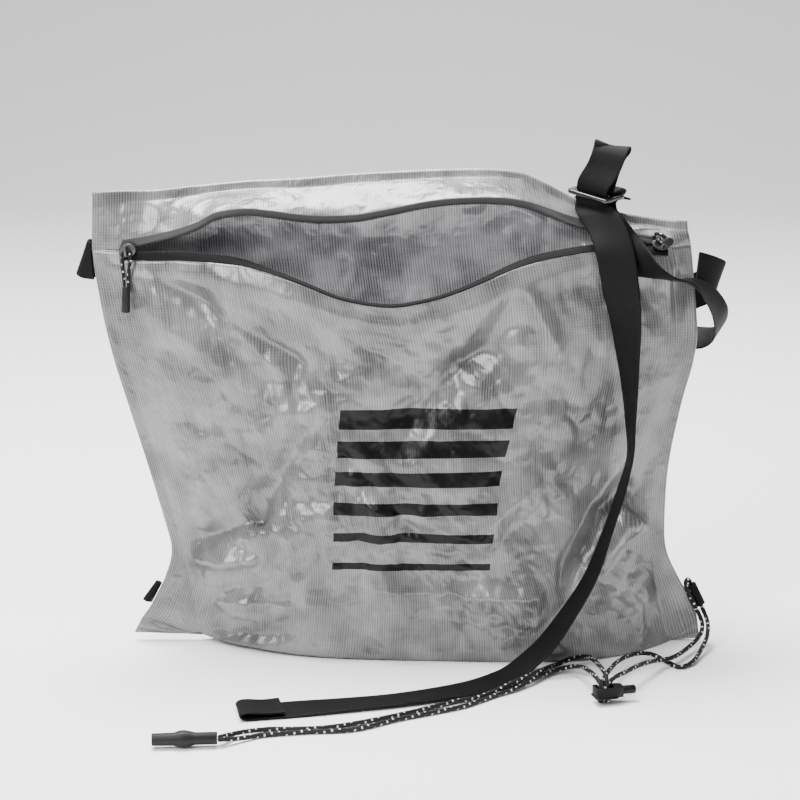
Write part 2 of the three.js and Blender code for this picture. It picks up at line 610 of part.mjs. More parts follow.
for (const pull of pulls) {
  addPiece(`pull_cord_${pull.side}`, cordTube(pull.cord, pullCordDiameter, 16), fleckedCord());
  const radius = pullSleeveDiameter / 2;
  const sleeve = new THREE.CylinderGeometry(radius, 0.92 * radius, pullSleeveLength, 12)
    .translate(0, pullSleeveLength / 2, 0);
  placeAlong(addPiece(`pull_sleeve_${pull.side}`, sleeve, greyRubber()),
    new THREE.Vector3(...pull.top), new THREE.Vector3(...pull.towards));
}

// The slide lies almost flat: its own directions, and where a strap row sits in it
const slideCentre = new THREE.Vector3(0.306 * bagWidth, -0.14 * frontDepth, 0.9587 * bagHeight);
const slideAlong = new THREE.Vector3(0.72, -0.68, -0.15).normalize();
const slideAcross = new THREE.Vector3(0.67, 0.73, 0.1);
slideAcross.addScaledVector(slideAlong, -slideAcross.dot(slideAlong)).normalize();
const slideUp = slideAlong.clone().cross(slideAcross);
const frontSlotMiddle = -(slideBar + slideSlot) / 2;
const rearSlotFirst = slideBar / 2 + 2 * seamGap + webbingThickness / 2;
const rearSlotSecond = rearSlotFirst + webbingThickness + seamGap;
const rearBarMiddle = slideBar + slideSlot;
const overBar = slideThickness / 2 + 2 * seamGap + webbingThickness / 2;

function atSlide(across, up, turned) {
  const place = along(along(slideCentre, slideAcross, across), slideUp, up);
  return {
    across: place.x / bagWidth,
    forward: -place.y / frontDepth,
    height: place.z / bagHeight,
    wx: turned * slideAlong.x,
    wy: turned * slideAlong.y,
    wz: turned * slideAlong.z,
  };
}

// Webbing: rows give the middle of the strap (across and height as shares of the bag's width and height,
// forward as a share of the front depth) and the direction of its width. Its first end is cut along that
// direction as it stands.
const webbingSteps = 2;
const webbingRest = 0.05;
const webbingSquareness = 0.6;

function webbing(rows) {
  const path = new THREE.CatmullRomCurve3(
    rows.map((row) => new THREE.Vector3(row.across * bagWidth, -row.forward * frontDepth, row.height * bagHeight)),
    false,
    'centripetal',
  );
  const top = [];
  const bottom = [];
  const steps = (rows.length - 1) * webbingSteps;
  for (let step = 0; step <= steps; step += 1) {
    const position = step / webbingSteps;
    const centre = path.getPoint(step / steps);
    const tangent = path.getTangent(step / steps);
    const read = (name) => columnAt(rows, name, position);
    const width = new THREE.Vector3(read('wx'), read('wy'), read('wz')).normalize();
    if (step > 0) {
      width.addScaledVector(tangent, -webbingSquareness * width.dot(tangent)).normalize();
    }
    const normal = tangent.clone().cross(width).normalize();
    const reach = Math.abs(width.z) * webbingWidth / 2 + Math.abs(normal.z) * webbingThickness / 2;
    centre.z = Math.max(centre.z, reach + webbingRest);
    const places = [-0.5, 0.5].map((share) => along(centre, width, share * webbingWidth));
    top.push(places.map((place) => along(place, normal, webbingThickness / 2)));
    bottom.push(places.map((place) => along(place, normal, -webbingThickness / 2)));
  }
  return closedSheet(top, bottom);
}

// The long strap: out of the right seam, behind the bag and back, across the front to the slide, up and
// over in a bight, down in front and along the floor to its folded end
const longStrap = [
  { across: 0.4765, forward: 0.00, height: 0.797, wx: 0.10, wy: 0, wz: 1 },
  { across: 0.500, forward: -0.08, height: 0.786, wx: 0.22, wy: 0.05, wz: 0.97 },
  { across: 0.517, forward: -0.24, height: 0.772, wx: 0.30, wy: 0.05, wz: 0.95 },
  { across: 0.510, forward: -0.42, height: 0.758, wx: 0.34, wy: 0.05, wz: 0.94 },
  { across: 0.475, forward: -0.54, height: 0.736, wx: 0.40, wy: 0, wz: 0.92 },
  { across: 0.420, forward: -0.58, height: 0.694, wx: 0.55, wy: 0, wz: 0.83 },
  { across: 0.370, forward: -0.60, height: 0.619, wx: 0.80, wy: 0, wz: 0.60 },
  { across: 0.340, forward: -0.62, height: 0.525, wx: 0.95, wy: 0, wz: 0.30 },
  { across: 0.330, forward: -0.66, height: 0.444, wx: 1, wy: 0, wz: 0.05 },
  { across: 0.331, forward: -0.76, height: 0.409, wx: 1, wy: 0, wz: 0 },
  { across: 0.334, forward: -0.88, height: 0.431, wx: 1, wy: 0, wz: 0 },
  { across: 0.345, forward: -0.88, height: 0.494, wx: 0.98, wy: 0, wz: -0.15 },
  { across: 0.380, forward: -0.84, height: 0.569, wx: 0.85, wy: 0, wz: -0.50 },
  { across: 0.435, forward: -0.76, height: 0.620, wx: 0.30, wy: -0.55, wz: -0.78 },
  { across: 0.480, forward: -0.62, height: 0.636, wx: -0.05, wy: -0.90, wz: -0.42 },
  { across: 0.506, forward: -0.40, height: 0.645, wx: -0.30, wy: -0.90, wz: -0.32 },
  { across: 0.518, forward: -0.20, height: 0.664, wx: -0.42, wy: -0.84, wz: -0.34 },
  { across: 0.518, forward: 0.00, height: 0.696, wx: -0.43, wy: -0.82, wz: -0.38 },
  { across: 0.503, forward: 0.22, height: 0.735, wx: -0.30, wy: -0.90, wz: -0.30 },
  { across: 0.477, forward: 0.50, height: 0.769, wx: -0.15, wy: -0.97, wz: -0.16 },
  { across: 0.450, forward: 0.70, height: 0.790, wx: -0.03, wy: -0.98, wz: 0.12 },
  { across: 0.422, forward: 0.78, height: 0.800, wx: 0.06, wy: -0.975, wz: 0.20 },
  { across: 0.392, forward: 0.76, height: 0.815, wx: 0.40, wy: -0.86, wz: 0.33 },
  { across: 0.364, forward: 0.66, height: 0.836, wx: 0.80, wy: -0.52, wz: 0.30 },
  { across: 0.341, forward: 0.56, height: 0.867, wx: 0.96, wy: -0.22, wz: 0.15 },
  { across: 0.323, forward: 0.42, height: 0.902, wx: 0.82, wy: -0.56, wz: 0 },
  { across: 0.311, forward: 0.29, height: 0.924, wx: 0.74, wy: -0.64, wz: -0.18 },
  atSlide(rearSlotFirst - 0.5, -4, 1),
  atSlide(rearSlotFirst, 0, 1),
  atSlide(rearSlotFirst, 5, 1),
  { across: 0.3215, forward: 0.08, height: 1.018, wx: 0.78, wy: -0.61, wz: -0.08 },
  { across: 0.3285, forward: 0.11, height: 1.045, wx: 0.80, wy: -0.59, wz: -0.08 },
  { across: 0.3315, forward: 0.17, height: 1.055, wx: 0.80, wy: -0.59, wz: -0.08 },
  { across: 0.3265, forward: 0.23, height: 1.043, wx: 0.80, wy: -0.59, wz: -0.08 },
  { across: 0.316, forward: 0.235, height: 1.012, wx: 0.78, wy: -0.61, wz: -0.08 },
  atSlide(frontSlotMiddle, 6, 1),
  atSlide(frontSlotMiddle, 0, 1),
  atSlide(frontSlotMiddle, -5, 1),
  { across: 0.308, forward: 0.37, height: 0.918, wx: 0.80, wy: -0.58, wz: -0.10 },
  { across: 0.322, forward: 0.52, height: 0.892, wx: 0.88, wy: -0.45, wz: -0.10 },
  { across: 0.333, forward: 0.67, height: 0.848, wx: 0.95, wy: -0.25, wz: -0.12 },
  { across: 0.343, forward: 0.72, height: 0.775, wx: 0.90, wy: -0.40, wz: -0.12 },
  { across: 0.3515, forward: 0.74, height: 0.707, wx: 0.72, wy: -0.68, wz: -0.08 },
  { across: 0.356, forward: 0.77, height: 0.637, wx: 0.50, wy: -0.86, wz: -0.05 },
  { across: 0.360, forward: 0.78, height: 0.568, wx: 0.30, wy: -0.95, wz: 0 },
  { across: 0.362, forward: 0.80, height: 0.504, wx: 0.15, wy: -0.97, wz: 0.16 },
  { across: 0.3625, forward: 0.83, height: 0.436, wx: 0.05, wy: -0.97, wz: 0.22 },
  { across: 0.350, forward: 0.87, height: 0.370, wx: 0.12, wy: -0.96, wz: 0.24 },
  { across: 0.326, forward: 0.97, height: 0.280, wx: 0.17, wy: -0.95, wz: 0.26 },
  { across: 0.298, forward: 1.10, height: 0.191, wx: 0.28, wy: -0.93, wz: 0.24 },
  { across: 0.257, forward: 1.25, height: 0.112, wx: 0.38, wy: -0.90, wz: 0.18 },
  { across: 0.2225, forward: 1.36, height: 0.058, wx: 0.42, wy: -0.89, wz: 0.10 },
  { across: 0.180, forward: 1.52, height: 0.018, wx: 0.52, wy: -0.83, wz: 0.09 },
  { across: 0.152, forward: 1.74, height: 0.006, wx: 0.58, wy: -0.81, wz: -0.06 },
  { across: 0.110, forward: 1.99, height: 0.005, wx: 0.45, wy: -0.88, wz: 0 },
  { across: 0.060, forward: 2.19, height: 0.005, wx: 0.36, wy: -0.93, wz: 0.05 },
  { across: -0.012, forward: 2.43, height: 0.005, wx: 0.30, wy: -0.95, wz: 0.07 },
  { across: -0.090, forward: 2.61, height: 0.005, wx: 0.26, wy: -0.96, wz: 0.04 },
  { across: -0.172, forward: 2.78, height: 0.005, wx: 0.20, wy: -0.98, wz: -0.03 },
  { across: -0.225, forward: 2.87, height: 0.004, wx: 0.18, wy: -0.98, wz: -0.03 },
  { across: -0.258, forward: 2.92, height: 0.005, wx: 0.17, wy: -0.98, wz: 0 },
  { across: -0.2625, forward: 2.925, height: 0.011, wx: 0.17, wy: -0.98, wz: 0 },
  { across: -0.256, forward: 2.91, height: 0.0165, wx: 0.17, wy: -0.98, wz: 0 },
  { across: -0.222, forward: 2.85, height: 0.0135, wx: 0.18, wy: -0.98, wz: 0 },
  { across: -0.196, forward: 2.80, height: 0.0135, wx: 0.19, wy: -0.98, wz: -0.02 },
];
addPiece('strap_long', webbing(longStrap), blackWebbing());

// The short strap: out of the left seam, slack across the back and up to the slide's rear bar, which it
// wraps before it lies against itself
const shortStrap = [
  { across: -0.5190, forward: 0.00, height: 0.817, wx: -0.08, wy: 0, wz: 1 },
  { across: -0.532, forward: -0.05, height: 0.819, wx: 0.20, wy: 0, wz: 0.98 },
  { across: -0.536, forward: -0.16, height: 0.822, wx: 0.36, wy: 0, wz: 0.93 },
  { across: -0.523, forward: -0.30, height: 0.816, wx: 0.34, wy: 0, wz: 0.94 },
  { across: -0.485, forward: -0.42, height: 0.798, wx: 0.32, wy: 0, wz: 0.95 },
  { across: -0.410, forward: -0.52, height: 0.748, wx: 0.42, wy: 0, wz: 0.90 },
  { across: -0.312, forward: -0.64, height: 0.695, wx: 0.34, wy: 0, wz: 0.94 },
  { across: -0.200, forward: -0.73, height: 0.664, wx: 0.15, wy: 0, wz: 0.99 },
  { across: -0.075, forward: -0.77, height: 0.655, wx: 0, wy: 0, wz: 1 },
  { across: 0.050, forward: -0.78, height: 0.672, wx: -0.20, wy: 0, wz: 0.98 },
  { across: 0.155, forward: -0.75, height: 0.725, wx: -0.45, wy: 0, wz: 0.90 },
  { across: 0.235, forward: -0.69, height: 0.806, wx: -0.70, wy: 0, wz: 0.70 },
  { across: 0.290, forward: -0.60, height: 0.890, wx: -0.86, wy: 0.20, wz: 0.45 },
  { across: 0.320, forward: -0.40, height: 0.950, wx: -0.85, wy: 0.45, wz: 0.25 },
  atSlide(rearBarMiddle + 4.5, overBar + 0.4, -1),
  atSlide(rearBarMiddle + 1, overBar, -1),
  atSlide(rearBarMiddle - slideBar / 2 + 0.4, overBar, -1),
  atSlide(rearSlotSecond + 0.2, overBar - 0.8, -1),
  atSlide(rearSlotSecond, 0, -1),
  atSlide(rearSlotSecond + 0.4, 0.8 - overBar, -1),
  atSlide(rearBarMiddle - slideBar / 2 + 0.4, -overBar, -1),
  atSlide(rearBarMiddle + 1, -overBar, -1),
  atSlide(rearBarMiddle + 6, -overBar - 0.6, -1),
  atSlide(rearBarMiddle + 13, -overBar - 2.5, -1),
];
addPiece('strap_short', webbing(shortStrap), blackWebbing());

// The slide: two end pieces and three bars with the webbing's two slots between them
const slotLength = webbingWidth + 2 * slideSideClearance;
const slideWidth = 3 * slideBar + 2 * slideSlot;
const slideLength = slotLength + 2 * slideBar;

function roundedOutline(width, height, radius) {
  const outline = new THREE.Shape();
  const x = width / 2 - radius;
  const y = height / 2 - radius;
  outline.absarc(x, y, radius, 0, Math.PI / 2);
  outline.absarc(-x, y, radius, Math.PI / 2, Math.PI);
  outline.absarc(-x, -y, radius, Math.PI, 1.5 * Math.PI);
  outline.absarc(x, -y, radius, 1.5 * Math.PI, 2 * Math.PI);
  outline.closePath();
  return outline;
}

const slideOutline = roundedOutline(slideLength, slideWidth, 3);
for (const sign of [-1, 1]) {
  const slot = new THREE.Path();
  const middle = sign * (slideBar + slideSlot) / 2;
  const halfLength = slotLength / 2;
  const halfSlot = slideSlot / 2;
  slot.moveTo(-halfLength, middle - halfSlot);
  slot.lineTo(-halfLength, middle + halfSlot);
  slot.lineTo(halfLength, middle + halfSlot);
  slot.lineTo(halfLength, middle - halfSlot);
  slot.closePath();
  slideOutline.holes.push(slot);
}
const slideGeometry = new THREE.ExtrudeGeometry(slideOutline, {
  depth: slideThickness, bevelEnabled: false, curveSegments: 3,
}).translate(0, 0, -slideThickness / 2);
const slideMesh = addPiece('strap_adjuster', slideGeometry, blackGloss());
slideMesh.position.copy(slideCentre);
slideMesh.quaternion.setFromRotationMatrix(new THREE.Matrix4().makeBasis(
  slideAlong, slideAcross, slideUp));

// Corner tabs: short webbing loops sewn into the side seams, each a ring on a flat neck.
// The ring stands flare further out at its lower end.
const tabNeckThickness = 2 * webbingThickness + 0.2;
const tabs = [
  { side: 'left', row: 8.95, ringOuter: 4.8, ringInner: 1.8, neck: 0.2, flare: 2.4 },
  { side: 'right', row: 9.35, ringOuter: 6.8, ringInner: 3.8, neck: 1.4, flare: 0 },
];

function seamPoint(side, row) {
  return new THREE.Vector3(
    columnAt(sections, side, row) * bagWidth, 0, columnAt(sections, `${side}Height`, row) * bagHeight);
}

for (const tab of tabs) {
  const middle = seamPoint(tab.side, tab.row);
  const down = seamPoint(tab.side, tab.row + 0.5).sub(seamPoint(tab.side, tab.row - 0.5)).normalize();
  const outwards = new THREE.Vector3(-down.z, 0, down.x).multiplyScalar(tab.side === 'left' ? -1 : 1);
  const radius = tab.ringOuter / 2;
  const halfNeck = tabNeckThickness / 2;
  const start = seamGap;
  const centre = start + tab.neck + Math.sqrt(radius ** 2 - halfNeck ** 2);
  const neckAngle = Math.asin(halfNeck / radius);
  const outline = new THREE.Shape();
  outline.moveTo(start, -halfNeck);
  outline.absarc(centre, 0, radius, -Math.PI + neckAngle, Math.PI - neckAngle);
  outline.lineTo(start, halfNeck);
  outline.closePath();
  const tunnel = new THREE.Path();
  tunnel.absarc(centre, 0, tab.ringInner / 2, 0, 2 * Math.PI, true);
  outline.holes.push(tunnel);
  const loop = new THREE.ExtrudeGeometry(outline, { depth: tabLength, bevelEnabled: false, curveSegments: 8 })
    .translate(0, 0, -tabLength / 2);
  const places = loop.attributes.position;
  for (let index = 0; index < places.count; index += 1) {
    if (places.getX(index) > start + 0.01 && places.getZ(index) > 0) {
      places.setX(index, places.getX(index) + tab.flare);
    }
  }
  const mesh = addPiece(`corner_tab_${tab.side}`, loop, blackWebbing());
  mesh.position.copy(middle);
  mesh.quaternion.setFromRotationMatrix(new THREE.Matrix4().makeBasis(
    outwards, down.clone().cross(outwards), down));
}

// The elastic cord: doubled through the right corner tab, down to its lock and on to its end sleeve
const cordTurn = [
  [200.1, 0.0, 24.0], [197.7, 0.0, 28.9], [194.2, 0.0, 36.1], [192.5, 0.0, 39.7], [191.2, -0.7, 42.6],
  [189.5, -2.4, 43.8], [188.4, -3.6, 41.8], [189.2, -3.8, 38.1], [192.6, -3.7, 30.9], [196.1, -3.6, 23.8],
];
const cordTabA = [
  [200.4, 0.0, 23.4], [201.8, -1.2, 20.4], [203.2, -5.0, 16.8], [203.4, -11.0, 13.2], [201.7, -20.0, 9.4],
  [196.0, -34.0, 4.6], [186.6, -55.0, 2.4], [178.7, -61.0, 1.8], [172.8, -53.1, 1.8], [168.1, -46.3, 2.5],
  [162.7, -44.0, 4.5], [156.5, -45.4, 6.0], [149.6, -53.4, 8.0], [141.8, -65.7, 10.0], [134.2, -82.0, 11.6],
  [129.0, -98.0, 12.8], [125.2, -111.0, 13.6], [123.6, -117.6, 13.9],
];
const cordTabB = [
  [196.4, -3.6, 23.2], [198.3, -5.4, 19.2], [199.8, -8.6, 14.6], [198.3, -15.0, 9.9], [191.6, -26.0, 6.4],
  [183.2, -40.0, 5.4], [174.6, -54.0, 6.0], [167.3, -60.3, 6.6], [160.8, -68.5, 8.5], [154.2, -78.2, 10.5],
  [147.7, -88.5, 12.0], [142.0, -99.3, 13.4], [135.2, -110.9, 14.6], [130.2, -117.8, 14.8],
];
const cordTailA = [
  [118.6, -117.4, 14.7], [116.3, -101.0, 12.8], [112.0, -83.0, 9.6], [106.0, -72.6, 6.0], [97.6, -71.0, 3.4],
  [89.6, -78.6, 3.2], [83.0, -87.5, 3.6], [69.0, -103.8, 2.4], [57.0, -113.5, 1.9], [46.0, -124.0, 1.8],
  [35.0, -134.3, 1.8], [13.6, -146.6, 1.8], [-6.8, -157.6, 1.8], [-33.5, -175.0, 1.8], [-59.7, -178.6, 1.8],
  [-71.2, -180.6, 1.8], [-88.2, -184.6, 1.8], [-102.1, -193.4, 3.0], [-112.8, -200.7, 5.2],
];
const cordTailB = [
  [123.9, -115.4, 17.6], [122.8, -98.0, 15.2], [120.6, -76.0, 11.8], [116.2, -60.0, 8.8], [107.4, -54.6, 5.0],
  [98.6, -58.6, 3.0], [91.0, -70.0, 4.4], [84.0, -84.0, 6.4], [70.8, -97.4, 5.6], [58.0, -108.5, 3.6],
  [47.0, -117.3, 2.2], [27.7, -127.4, 1.8], [3.0, -144.4, 1.8], [-26.5, -161.7, 1.8], [-49.9, -171.6, 1.8],
  [-66.9, -174.0, 1.8], [-85.2, -174.6, 1.8], [-101.6, -184.0, 3.2], [-112.8, -197.0, 5.2],
];

// In the lock each strand goes down through the barrel, round under it and back up beside itself
const cordBightA = [
  [118.7, -118.0, 14.8], [119.4, -123.4, 15.0], [120.2, -126.6, 14.0], [120.4, -127.4, 11.6], [120.4, -127.4, 7.8],
  [120.4, -127.4, 4.4], [120.7, -126.8, 2.5], [121.35, -125.4, 1.7], [122.0, -124.0, 2.5], [122.3, -123.4, 4.4],
  [122.3, -123.4, 7.8], [122.3, -123.4, 11.7], [122.5, -122.4, 13.4], [123.5, -118.1, 13.9],
];
const cordBightB = [
  [123.9, -116.0, 17.7], [124.2, -121.6, 17.6], [124.5, -125.2, 15.8], [124.6, -126.3, 12.0], [124.6, -126.3, 7.8],
  [124.6, -126.3, 4.4], [124.9, -125.7, 2.5], [125.55, -124.25, 1.7], [126.2, -122.8, 2.5], [126.5, -122.2, 4.4],
  [126.5, -122.2, 7.8], [126.5, -122.2, 11.6], [127.2, -121.3, 13.4], [129.9, -118.3, 14.7],
];
const cords = [
  { name: 'cord_turn', points: cordTurn, steps: 18 },
  { name: 'cord_tab_a', points: cordTabA, steps: 26 },
  { name: 'cord_tab_b', points: cordTabB, steps: 22 },
  { name: 'cord_bight_a', points: cordBightA, steps: 22 },
  { name: 'cord_bight_b', points: cordBightB, steps: 22 },
  { name: 'cord_tail_a', points: cordTailA, steps: 38 },
  { name: 'cord_tail_b', points: cordTailB, steps: 38 },
];
for (const cord of cords) {
  addPiece(cord.name, cordTube(cord.points, cordDiameter, cord.steps), fleckedCord());
}

// The cord lock: a tapered barrel with a hole for the cord and a bore for its sprung button
const lockPlace = new THREE.Vector3(126.5, -124, 7.9);
const lockTurn = THREE.MathUtils.degToRad(15);
const lockBack = -0.53 * lockLength;
const lockFront = lockBack + lockLength;
const cordHoleStart = lockBack + 1.3;
const cordHoleLength = 10.6;
const cordHoleEnd = cordHoleStart + cordHoleLength;
const cordHoleDepth = 2 * cordDiameter + 1.2;
const boreRadius = buttonDiameter / 2 + runningClearance;

const barrelOutline = new THREE.Shape();
barrelOutline.moveTo(lockBack, -lockDepth / 2);
barrelOutline.lineTo(cordHoleEnd, -lockDepth / 2);
barrelOutline.lineTo(lockFront, -lockDepth / 2 + lockTaper);
barrelOutline.lineTo(lockFront, lockDepth / 2 - lockTaper);
barrelOutline.lineTo(cordHoleEnd, lockDepth / 2);
barrelOutline.lineTo(lockBack, lockDepth / 2);
barrelOutline.closePath();
const barrel = new THREE.ExtrudeGeometry(barrelOutline, { depth: lockHeight, bevelEnabled: false })
  .translate(0, 0, -lockHeight / 2);
const flange = new THREE.BoxGeometry(lockLength - 4, lockDepth + 2 * lockFlange, lockFlange)
  .translate((lockBack + lockFront) / 2 - 2 - lockFlange / 2, 0, -lockHeight / 2 + lockFlange / 2);
const cordHole = new THREE.BoxGeometry(cordHoleLength, cordHoleDepth, 2 * lockHeight)
  .translate((cordHoleStart + cordHoleEnd) / 2, 0, 0);
const boreLength = lockFront - cordHoleEnd + 2;
const buttonBore = new THREE.CylinderGeometry(boreRadius, boreRadius, boreLength, 16)
  .rotateZ(Math.PI / 2)
  .translate(cordHoleEnd - 1 + boreLength / 2, 0, 0);
const lockSolid = solidOf(barrel).add(solidOf(flange)).subtract(solidOf(cordHole)).subtract(solidOf(buttonBore));
const lockMesh = addPiece('cord_lock_body', geometryOf(lockSolid), blackMatte());
lockMesh.position.copy(lockPlace);
lockMesh.rotation.z = lockTurn;

// The button stands out of its bore and stops short of the cord when it is pressed
const outerStrand = 0.5 + cordDiameter / 2;
const buttonStart = outerStrand + lockPressClearance + buttonTravel;
const buttonEnd = lockFront + buttonReach;
const button = new THREE.CylinderGeometry(buttonDiameter / 2, buttonDiameter / 2, buttonEnd - buttonStart, 16)
  .rotateZ(Math.PI / 2)
  .translate((buttonStart + buttonEnd) / 2, 0, 0);
const buttonMesh = addPiece('cord_lock_button', button, blackMatte());
buttonMesh.position.copy(lockPlace);
buttonMesh.rotation.z = lockTurn;

// The end sleeve: a rubber tube stretched over the cord's knot
const sleeveProfile = [
  { along: 0.00, swell: -1 },
  { along: 0.00, swell: 0 },
  { along: 0.34, swell: 0.04 },
  { along: 0.42, swell: 0.55 },
  { along: 0.50, swell: 1 },
  { along: 0.58, swell: 0.80 },
  { along: 0.66, swell: 0.12 },
  { along: 1.00, swell: 0 },
  { along: 1.00, swell: -1 },
];
const sleeveGeometry = new THREE.LatheGeometry(sleeveProfile.map(({ along: share, swell }) => {
  const swollen = mix(endSleeveDiameter / 2, endKnotDiameter / 2, Math.max(swell, 0));
  return new THREE.Vector2(swell < 0 ? 0 : swollen, share * endSleeveLength);
}), 12);
placeAlong(addPiece('cord_end_sleeve', sleeveGeometry, greyRubber()),
  new THREE.Vector3(-113.9, -199, endKnotDiameter / 2 + 0.1), new THREE.Vector3(-1, -0.07, 0));

export default group;
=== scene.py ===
import math

import bmesh
import bpy
import numpy as np
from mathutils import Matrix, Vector


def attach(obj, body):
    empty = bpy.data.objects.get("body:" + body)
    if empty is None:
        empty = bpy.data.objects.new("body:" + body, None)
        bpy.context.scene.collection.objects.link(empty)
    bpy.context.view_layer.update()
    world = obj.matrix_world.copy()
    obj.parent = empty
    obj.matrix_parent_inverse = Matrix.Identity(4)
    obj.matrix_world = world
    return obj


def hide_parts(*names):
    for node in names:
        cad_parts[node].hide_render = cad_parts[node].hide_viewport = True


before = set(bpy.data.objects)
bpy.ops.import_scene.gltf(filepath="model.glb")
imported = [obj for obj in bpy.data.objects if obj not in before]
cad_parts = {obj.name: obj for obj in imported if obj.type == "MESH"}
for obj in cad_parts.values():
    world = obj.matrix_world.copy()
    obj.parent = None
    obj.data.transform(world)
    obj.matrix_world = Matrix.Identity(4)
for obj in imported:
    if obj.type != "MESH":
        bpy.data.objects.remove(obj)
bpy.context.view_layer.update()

# Front panel
# The lower front of the bag is one sheet of grey laminate, welded into the side seams and folded under the
# base. Its lip carries the lower half of the zip, and its filled body is crumpled and creased.
BAG_WIDTH = 0.400
BAG_HEIGHT = 0.320
FRONT_DEPTH = 0.050
WALL = 0.0012
CLOTH_WALL = 0.0007
SEAM_GAP = 0.0003
SEAM_ALLOWANCE = 0.007
SEAM_PLANE = (WALL + SEAM_GAP) / 2
BASE_SEAM_SET = 0.012
BASE_SEAM_RELIEF = 0.00085
BACK_SQUARENESS = 2.6
LIFT_REACH = 0.45
OPENING_START = 0.6
FOLD_MARGIN = 0.12
FOLD_CEILING = 0.93
LIP_POSITION = 1.7
LIP_BLEND_END = 3.4


class Table:
    def __init__(self, names, rows):
        self.columns = {name: np.array([row[i] for row in rows]) for i, name in enumerate(names.split())}
        self.last = len(rows) - 1

    def at(self, name, position):
        position = np.asarray(position, dtype=float)
        values = self.columns[name]
        row = np.clip(np.floor(position).astype(int), 0, self.last - 1)
        t = position - row
        before = values[np.clip(row - 1, 0, self.last)]
        start = values[row]
        end = values[row + 1]
        after = values[np.clip(row + 2, 0, self.last)]
        start_slope = (end - before) / 2
        end_slope = (after - start) / 2
        t2 = t * t
        t3 = t2 * t
        return (
            (2 * t3 - 3 * t2 + 1) * start
            + (t3 - 2 * t2 + t) * start_slope
            + (3 * t2 - 2 * t3) * end
            + (t3 - t2) * end_slope
        )

    def row_where(self, name, value):
        return np.interp(value, self.columns[name], np.arange(self.last + 1))


SECTIONS = Table(
    "height left right left_height right_height body_left body_right front back under square skew lift",
    [
        (1, -0.515, 0.458, 1, 1, -0.497, 0.441, 0.6, 0.34, 0, 2.5, 0, 0),
        (0.86, -0.518, 0.465, 0.86, 0.86, -0.5, 0.447, 0.68, 0.52, 0, 2.5, 0, 0),
        (0.75, -0.509, 0.475, 0.75, 0.75, -0.491, 0.457, 0.72, 0.68, 0, 2.5, 0, 0),
        (0.64, -0.493, 0.479, 0.64, 0.64, -0.475, 0.461, 0.76, 0.78, 0, 2.5, 0, 0),
        (0.515, -0.465, 0.456, 0.515, 0.515, -0.447, 0.438, 0.82, 0.86, 0, 2.5, 0, 0),
        (0.39, -0.436, 0.438, 0.39, 0.39, -0.418, 0.42, 0.9, 0.94, 0, 2.5, 0.03, 0),
        (0.28, -0.412, 0.4335, 0.28, 0.28, -0.394, 0.416, 0.97, 0.99, 0, 2.7, 0.08, 0),
        (0.203, -0.3985, 0.437, 0.203, 0.205, -0.379, 0.416, 1, 1, 0, 3, 0.12, 0),
        (0.14, -0.4095, 0.457, 0.144, 0.146, -0.368, 0.42, 0.99, 1, 0, 3.4, 0.16, 0.004),
        (0.07, -0.4255, 0.475, 0.102, 0.106, -0.36, 0.43, 0.96, 0.97, 0, 3.8, 0.18, 0.01),
        (0.02, -0.4375, 0.4855, 0.074, 0.078, -0.354, 0.44, 0.92, 0.92, 0, 4, 0.18, 0.013),
        (0, -0.448, 0.4925, 0.056, 0.055, -0.35, 0.45, 0.88, 0.86, 0, 4, 0.18, 0.013),
        (0, -0.457, 0.4955, 0.037, 0.029, -0.35, 0.45, 0.88, 0.86, 0.5, 4, 0.18, 0.013),
        (0, -0.4645, 0.498, 0.019, 0.006, -0.35, 0.45, 0.88, 0.86, 1, 4, 0.18, 0.013),
    ],
)

TOP_EDGE = Table(
    "across height",
    [
        (-0.515, 0.959),
        (-0.47, 0.961),
        (-0.42, 0.961),
        (-0.35, 0.969),
        (-0.265, 0.978),
        (-0.175, 0.983),
        (-0.095, 0.991),
        (-0.012, 0.997),
        (0.07, 1.001),
        (0.135, 1.002),
        (0.185, 0.995),
        (0.228, 0.972),
        (0.27, 0.945),
        (0.32, 0.921),
        (0.395, 0.906),
        (0.458, 0.9),
    ],
)

